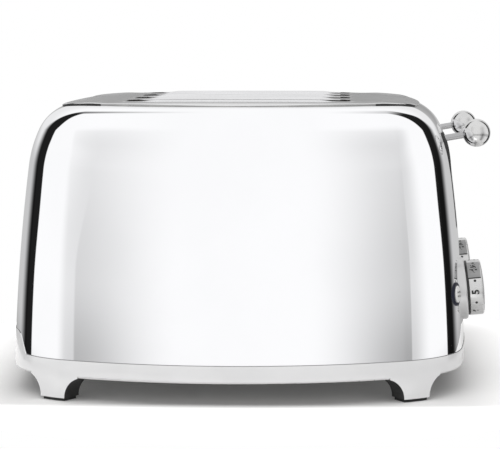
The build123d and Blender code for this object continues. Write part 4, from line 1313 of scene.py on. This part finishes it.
@dataclass
class Dial:
    """One browning dial: steel ring on the wall, satin knob and its printed scale, in millimetres."""

    side: Side
    centre_z: float = 68.5
    tilt: float = 5.2
    front_x: float = 164.37
    bore: float = 3.3
    ring_radius: float = 22.5
    ring_depth: float = 7.0
    sleeve_radius: float = 17.8
    sleeve_depth: float = 12.0
    knob_radius: float = 20.0
    knob_band: float = 11.0
    knob_gap: float = 0.6
    collar_bore: float = 17.6
    collar_inset: float = 0.2
    cavity_radius: float = 17.5
    cavity_depth: float = 5.5
    hub_radius: float = 6.0
    shaft_radius: float = 3.0
    shaft_depth: float = 8.0
    edge_round: float = 1.2
    crown: float = 1.6
    groove: float = 1.1
    five_at: float = -3.0
    figure_step: float = 47.0
    figure_height: float = 5.2
    dot_radius: float = 0.95
    line_width: float = 0.9
    shade_from: float = 26.5
    shade_to: float = 72.0

    def build(self) -> None:
        """Turns the ring and the knob and wraps the scale round the knob's band."""
        centre = np.array([self.front_x, self.side.value * LEVER_Y, self.centre_z])
        axis = outward(radians(self.tilt), 0.0)
        side, knob_body = self.side.label, f"{self.side.label}_dial"
        deep, radius = -self.sleeve_depth, self.knob_radius
        ring = [(self.bore, deep), (self.sleeve_radius, deep)]
        ring += [(self.sleeve_radius, -self.ring_depth), (self.ring_radius, -self.ring_depth)]
        soft = self.edge_round
        ring += arc_points((self.ring_radius - soft, -soft), soft, 0, 90, 8)
        ring += [(radius + 0.4, 0.0), (radius - 0.3, -0.5), (self.bore, -0.5), (self.bore, deep)]
        turned(ring, centre, axis, 128).piece(
            f"{side}_dial_ring", RING_STEEL, HOUSING, [f"{side}_dial_bezel"]
        )
        foot = self.knob_gap
        low, high = foot + self.groove, foot + self.knob_band
        inner, outer = self.collar_bore, radius - self.collar_inset
        collar = [(inner, foot), (outer, foot), (outer, low), (inner, low), (inner, foot)]
        turned(collar, centre, axis, 128).piece(f"{side}_dial_collar", DARK, knob_body)
        seat, hollow = low + self.shaft_depth, low + self.cavity_depth
        knob = [(0.0, seat), (self.shaft_radius, seat), (self.shaft_radius, low), (self.hub_radius, low)]
        knob += [(self.hub_radius, hollow), (self.cavity_radius, hollow), (self.cavity_radius, low)]
        knob += arc_points((radius - 0.4, low + 0.4), 0.4, -90, 0, 4)
        knob += arc_points((radius - soft, high - soft), soft, 0, 80, 8)
        face = np.linspace(radius - 1.6, 0, 12)
        knob += list(zip(face, high + self.crown * (1 - (face / radius) ** 2)))
        turned(knob, centre, axis, 128).piece(f"{side}_dial_cap", SATIN, knob_body, [f"{side}_dial_knob"])
        self.scale_marks(centre, axis)

    def scale_marks(self, centre: np.ndarray, axis: np.ndarray) -> None:
        """Prints figures, dots and a shaded stretch with a stop line round the knob's band.

        Args:
            centre: the dial's centre.
            axis: its axis.
        """
        body, middle = f"{self.side.label}_dial", self.knob_gap + self.knob_band / 2
        marks = PrintedMarks(centre, axis, middle, self.knob_radius + 0.05)
        for number in range(1, 7):
            place = self.five_at + self.figure_step * (5 - number)
            marks.add(text_mesh(str(number), self.figure_height), place)
            marks.add(disc_mesh(self.dot_radius), place + self.figure_step / 2)
        marks.add(text_mesh("½", self.figure_height * 0.7), self.five_at + 1.27 * self.figure_step)
        marks.add(strip_mesh(self.knob_band - 2.0, self.line_width), self.shade_from)
        marks.piece(f"{body}_scale", INK, body)
        shade = PrintedMarks(centre, axis, middle, self.knob_radius + 0.025)
        arc = radians(self.shade_to - self.shade_from) * self.knob_radius
        shade.add(strip_mesh(self.knob_band - 2.0, arc, 24), (self.shade_from + self.shade_to) / 2)
        shade.piece(f"{body}_shade", SHADE_INK, body)


@dataclass
class PushButton:
    """One push button in its dark blue bush, in millimetres."""

    name: str
    height: float = 69.5
    outer_turn: float = 18.0
    inner_y: float = 34.0
    cap_radius: float = 6.0
    cap_length: float = 8.0
    cap_round: float = 0.5
    cap_crown: float = 0.5
    bush_radius: float = 8.4
    bush_bore: float = 6.3
    bush_wall: float = 1.0
    bush_length: float = 13.1
    bush_flange: float = 2.0
    proud: float = 0.8
    bush_proud: float = 0.9
    wave_rows: tuple[float, float] = (-1.4, 1.4)
    wave_half: float = 0.3
    wave_sink: float = 0.3
    wave_lift: float = 0.53
    wave_reach: float = 3.2
    wave_length: float = 3.2
    wave_depth: float = 0.6

    def plane(self) -> tuple[np.ndarray, np.ndarray]:
        """Finds where the button's axis meets the wall.

        Returns:
            The place, and the way out of the wall there.
        """
        inset, lean = (float(value) for value in WALL.at(self.height))
        sign = -1 if self.name.startswith("near") else 1
        if "outer" in self.name:
            x, y = BODY_PLAN.corner()[:2]
            station = (x, sign * y, BODY_PLAN.corner_radius, sign * radians(self.outer_turn))
        else:
            radius = BODY_PLAN.end_radius
            station = (BODY_PLAN.end_x, 0.0, radius, np.arcsin(sign * self.inner_y / radius))
        flat = moved_in(np.array([station]), inset, station[3])[0]
        return np.append(flat, self.height), outward(lean, station[3])

    def wave_marks(self, face: np.ndarray, axis: np.ndarray) -> None:
        """Prints two small waves on the cap.

        Each is a ribbon along u whose middle is at height + wave_depth * sin(2 pi u / wave_length).

        Args:
            face: the middle of the cap's face.
            axis: the way out of it.
        """
        u = np.cross((0.0, 0.0, 1.0), axis)
        u /= np.linalg.norm(u)
        v = np.cross(axis, u)
        along = np.linspace(-self.wave_reach, self.wave_reach, 33)
        wave = self.wave_depth * np.sin(2 * pi * along / self.wave_length)
        marks = []
        for height in self.wave_rows:
            rows = [height + wave + half for half in (-self.wave_half, self.wave_half)]
            points = np.stack([face + along[:, None] * u + row[:, None] * v for row in rows])
            marks.append(Surface.grid(points).thicken(np.broadcast_to(axis, points.shape), self.wave_sink))
        (marks[0] + marks[1]).piece(f"{self.name}_mark", INK, self.name)

    def build(self) -> Surface:
        """Turns the cap and prints its waves.

        Returns:
            The bush's surface, which joins the other three's in one piece.
        """
        place, axis = self.plane()
        top = self.bush_proud + self.proud
        cap = [(0.0, top - self.cap_length), (self.cap_radius, top - self.cap_length)]
        soft = self.cap_round
        cap += arc_points((self.cap_radius - soft, top - soft), soft, 0, 80, 5)
        face = np.linspace(self.cap_radius - 0.7, 0, 6)
        cap += list(zip(face, top + self.cap_crown * (1 - (face / self.cap_radius) ** 2)))
        turned(cap, place, axis, 64).piece(f"{self.name}_cap", WHITE, self.name, [self.name])
        self.wave_marks(place + (top + self.wave_lift) * axis, axis)
        bore, sleeve = self.bush_bore, self.bush_bore + self.bush_wall
        deep, under, rim = -self.bush_length, -self.bush_flange, self.bush_proud
        bush = [(bore, deep), (sleeve, deep), (sleeve, under), (self.bush_radius, under)]
        bush += arc_points((self.bush_radius - 0.4, rim - 0.4), 0.4, 0, 90, 4)
        bush += [(bore + 0.3, rim), (bore, rim - 0.3), (bore, deep)]
        return turned(bush, place, axis, 64)


@dataclass(frozen=True)
class FrontPanel:
    """A grey panel in front, beside the camera, which the polished wrap mirrors.

    Attributes:
        edge: where its outer edge stands at the level, in degrees from the camera's side.
        fade: how far past the edge the grey dies away, in degrees.
        high: the grey that is left halfway up.
    """

    edge: float
    fade: float
    high: float

    def missing(self, angle: Wire, elevation: Wire) -> Wire:
        """How grey the panel is: most at its outer edge, less inwards and upwards.

        Args:
            angle: the angle from the camera's side towards the panel.
            elevation: the angle above the level.

        Returns:
            The share of light that is missing, from 0 to 1.
        """
        depth = 0.22 - 0.22 * elevation.smooth(-7.0, 1.0) + 0.12 - 0.12 * elevation.smooth(0.0, 14.0)
        depth = depth + self.high - self.high * elevation.smooth(30.0, 60.0)
        past = angle - self.edge + 4.3 * elevation.smooth(1.0, 10.0) - 9.0 * elevation.smooth(20.0, 42.0)
        outside = past.smooth(0.0, 0.8)
        beyond = (0.6 + 0.35 * elevation.smooth(-2.0, 12.0)) * (1.0 - past.smooth(0.0, self.fade))
        return depth * (angle.smooth(18.0, 53.0) * (1.0 - outside) + beyond * outside)


@dataclass
class Studio:
    """Camera, pale floor, soft surroundings and a lamp."""

    camera_mm: tuple[float, float, float] = (73.498, -1480.124, 253.257)
    pitch: float = 0.090
    yaw: float = 0.022
    focal_px: float = 1939.9
    centre_px: tuple[float, float] = (298.53, 208.23)
    image_px: tuple[int, int] = (500, 449)
    floor_radius: float = 0.30
    front_edge: float = 0.168
    shade_half: tuple[float, float] = (0.13, 0.15)
    shade_x: float = -0.010
    gap_depth: float = 0.987
    bar_depth: float = 0.42
    low_strip_depth: float = 0.38
    left_panel: FrontPanel = FrontPanel(50.3, 16.0, 0.20)
    right_panel: FrontPanel = FrontPanel(58.0, 28.0, 0.27)
    lamp_place: tuple[float, float, float] = (-0.6, -1.2, 1.9)
    lamp_size: tuple[float, float] = (1.6, 1.2)
    lamp_watts: float = 9.0

    def build(self) -> None:
        """Sets up everything that isn't the object."""
        self.camera()
        self.floor()
        self.surroundings()
        self.lamp()
        bpy.context.scene.view_settings.view_transform = "Standard"

    def camera(self) -> None:
        """Places the camera by its measured position, turn and principal point."""
        data = bpy.data.cameras.new("camera")
        width, height = self.image_px
        data.sensor_fit = "HORIZONTAL"
        data.sensor_width = 36.0
        data.lens = self.focal_px / width * data.sensor_width
        data.shift_x = (width / 2 - self.centre_px[0]) / width
        data.shift_y = (self.centre_px[1] - height / 2) / width
        data.clip_end = 60.0
        camera = linked("camera", data)
        place = Matrix.Translation(Vector(in_frame(np.array(self.camera_mm))))
        turn = Matrix.Rotation(self.yaw, 4, "Z") @ Matrix.Rotation(pi / 2 - self.pitch, 4, "X")
        camera.matrix_world = place @ turn
        bpy.context.scene.camera = camera

    def floor(self) -> None:
        """A round white floor that keeps the object's shadow.

        It glows a little to camera and mirror rays, more and more with the distance from the
        object and at once in front of the feet, so that the open floor is as white as the
        backdrop and the shadow stays. A faint glow under the body keeps the shadow there grey,
        and beside the lever end mirror rays see less of the glow.
        """
        mesh = disc_mesh(self.floor_radius, 128)
        material = bpy.data.materials.new("floor_white")
        material.use_nodes = True
        graph = Graph(material.node_tree)
        base = graph.mix(graph.noise(3.0), (0.80, 0.795, 0.79), (0.82, 0.815, 0.81))
        matt = graph.add("ShaderNodeBsdfDiffuse", {}, {"Color": base})
        place = graph.place()
        x, y = graph.split(place, "X"), graph.split(place, "Y")
        out_x = (abs(x - self.shade_x) - self.shade_half[0]).math("MAXIMUM", 0.0)
        out_y = (abs(y) - self.shade_half[1]).math("MAXIMUM", 0.0)
        away = (out_x * out_x + out_y * out_y).math("SQRT")
        seen = graph.add("ShaderNodeLightPath", output="Is Camera Ray")
        mirrored = graph.add("ShaderNodeLightPath", output="Is Glossy Ray")
        mirrored = mirrored * (1.0 - 0.75 * x.smooth(0.15, 0.19))
        front = (-y - self.front_edge).smooth(0.0, 0.022)
        under = 1.0 - away.smooth(0.0, 0.03)
        lift = (seen + mirrored) * (away.smooth(0.01, 0.12) * 0.5 + front * 0.5 + under * 0.04)
        glow = graph.add("ShaderNodeEmission", {}, {"Color": (1, 1, 1, 1), "Strength": lift})
        both = graph.add("ShaderNodeAddShader", {}, {0: matt, 1: glow})
        graph.add("ShaderNodeOutputMaterial", {}, {"Surface": both})
        mesh.materials.append(material)
        floor = linked("floor", mesh)

    def surroundings(self) -> None:
        """The studio's light as a function of direction, in degrees.

        The room is white but for six things: a dark gap round the backdrop, the grey lower part
        of the backdrop, a dim bar across its middle, a grey panel at either side in front, and a
        dim strip below the level. From_back is the angle from the backdrop's middle and over the
        angle round it from a side to the top. Each share is the light that is missing. Camera
        rays see plain white.
        """
        world = bpy.data.worlds.new("studio")
        world.use_nodes = True
        bpy.context.scene.world = world
        graph = Graph(world.node_tree)
        direction = graph.add("ShaderNodeTexCoord", output="Generated")
        x, y, z = (graph.split(direction, axis) for axis in "XYZ")
        elevation = z.math("ARCSINE") * degrees(1)
        from_back = y.math("ARCCOSINE") * degrees(1)
        over = z.math("ARCTAN2", abs(x)) * degrees(1)
        azimuth = x.math("ARCTAN2", -y) * degrees(1)
        fall = 0.42 - 0.27 * elevation.smooth(0.0, 12.0) - 0.15 * elevation.smooth(20.0, 45.0)
        missing = (
            self.gap_depth * self.gap(from_back, over, elevation, x.smooth(-0.2, 0.2)),
            (1.0 - from_back.smooth(60.0, 64.0)) * fall,
            self.bar_depth * (1.0 - from_back.smooth(6.0, 22.0)) * elevation.between(2.0, 8.0, 3.0),
            self.left_panel.missing(-azimuth, elevation),
            self.right_panel.missing(azimuth, elevation),
            self.low_strip_depth * elevation.between(-20.0, -9.0, 3.0),
        )
        level = 1.0
        for share in missing:
            level = level * (1.0 - share)
        seen = graph.add("ShaderNodeLightPath", output="Is Camera Ray")
        strength = level * (1.0 - seen) + seen
        light = graph.add("ShaderNodeBackground", {}, {"Color": (1.0, 1.0, 1.0, 1.0), "Strength": strength})
        graph.add("ShaderNodeOutputWorld", {}, {"Surface": light})

    @staticmethod
    def gap(from_back: Wire, over: Wire, elevation: Wire, side: Wire) -> Wire:
        """Where the dark gap round the backdrop is: wide at the sides, closed over the top.

        It lies between two angles from the backdrop's middle. Both change with the climb round
        the backdrop, and on the lever end's side they stand a little nearer the middle.

        Args:
            from_back: the angle from the backdrop's middle.
            over: the angle round it, from a side to the top.
            elevation: the angle above the level.
            side: 1 on the lever end's side, 0 on the other.

        Returns:
            1 in the gap and 0 outside it.
        """
        climb = over.smooth(12.0, 45.0)
        close = over.smooth(33.0, 72.0)
        outer = 51.0 + 4.0 * climb - side * (8.0 - 4.0 * over.smooth(45.0, 65.0))
        inner = 74.0 + 2.5 * elevation.smooth(-2.5, 2.5) - 14.0 * close - side * (8.5 - 9.5 * close)
        gap = ((from_back - outer) / (9.0 - 7.5 * climb)).smooth(-1.0, 1.0)
        return gap * (1.0 - (from_back - inner).smooth(-0.8, 0.8)) * (1.0 - over.smooth(60.0, 84.0))

    def lamp(self) -> None:
        """A large soft lamp above and in front."""
        data = bpy.data.lights.new("softbox", "AREA")
        data.shape = "RECTANGLE"
        data.size, data.size_y = self.lamp_size
        data.energy = self.lamp_watts
        lamp = linked("softbox", data)
        lamp.visible_glossy = False
        place = Vector(self.lamp_place)
        aim = (Vector((0, 0, 0.1)) - place).to_track_quat("-Z", "Y")
        lamp.matrix_world = Matrix.Translation(place) @ aim.to_matrix().to_4x4()


@dataclass
class Toaster:
    """The whole object: its sub-assemblies in the order in which they are built."""

    frame: dict
    buttons: tuple[str, ...] = (
        "near_outer_button", "near_inner_button", "far_inner_button", "far_outer_button"
    )

    def build(self) -> None:
        """Builds the visible pieces, then dresses what stays as it is."""
        BodyWrap().build()
        SlottedPlate().build()
        for side in Side:
            LeverGrip(side).build()
            Dial(side).build()
        bushes = [PushButton(name).build() for name in self.buttons]
        sum(bushes[1:], bushes[0]).piece("button_bushes", BLUE, HOUSING, ["button_rings"])
        # Painted shade: the skirt's inner flanks and underside are black, though the moulding there is the
        # same grey
        DressedNode(MOULDING, HOUSING, ("base_skirt",), 0.5, 28.0, inner=DARK).build(self.frame)
        DressedNode(RUBBER, HOUSING, ("rubber_feet",)).build(self.frame)
        for side in Side:
            DressedNode(MOULDING, f"{side.label}_tray", (f"{side.label}_tray_front",)).build(self.frame)
        self.dress_inside()

    def dress_inside(self) -> None:
        """Gives every CAD node that stays its finish."""
        for name, node in self.frame["nodes"].items():
            for finish, endings in INSIDE:
                if name.endswith(endings):
                    node.data.materials.clear()
                    node.data.materials.append(finish.material())


def main() -> None:
    """Builds the object and its studio."""
    logging.basicConfig(level=logging.INFO, format="%(name)s %(message)s")
    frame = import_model()
    Toaster(frame).build()
    Studio().build()


if __name__ == "__main__":
    main()
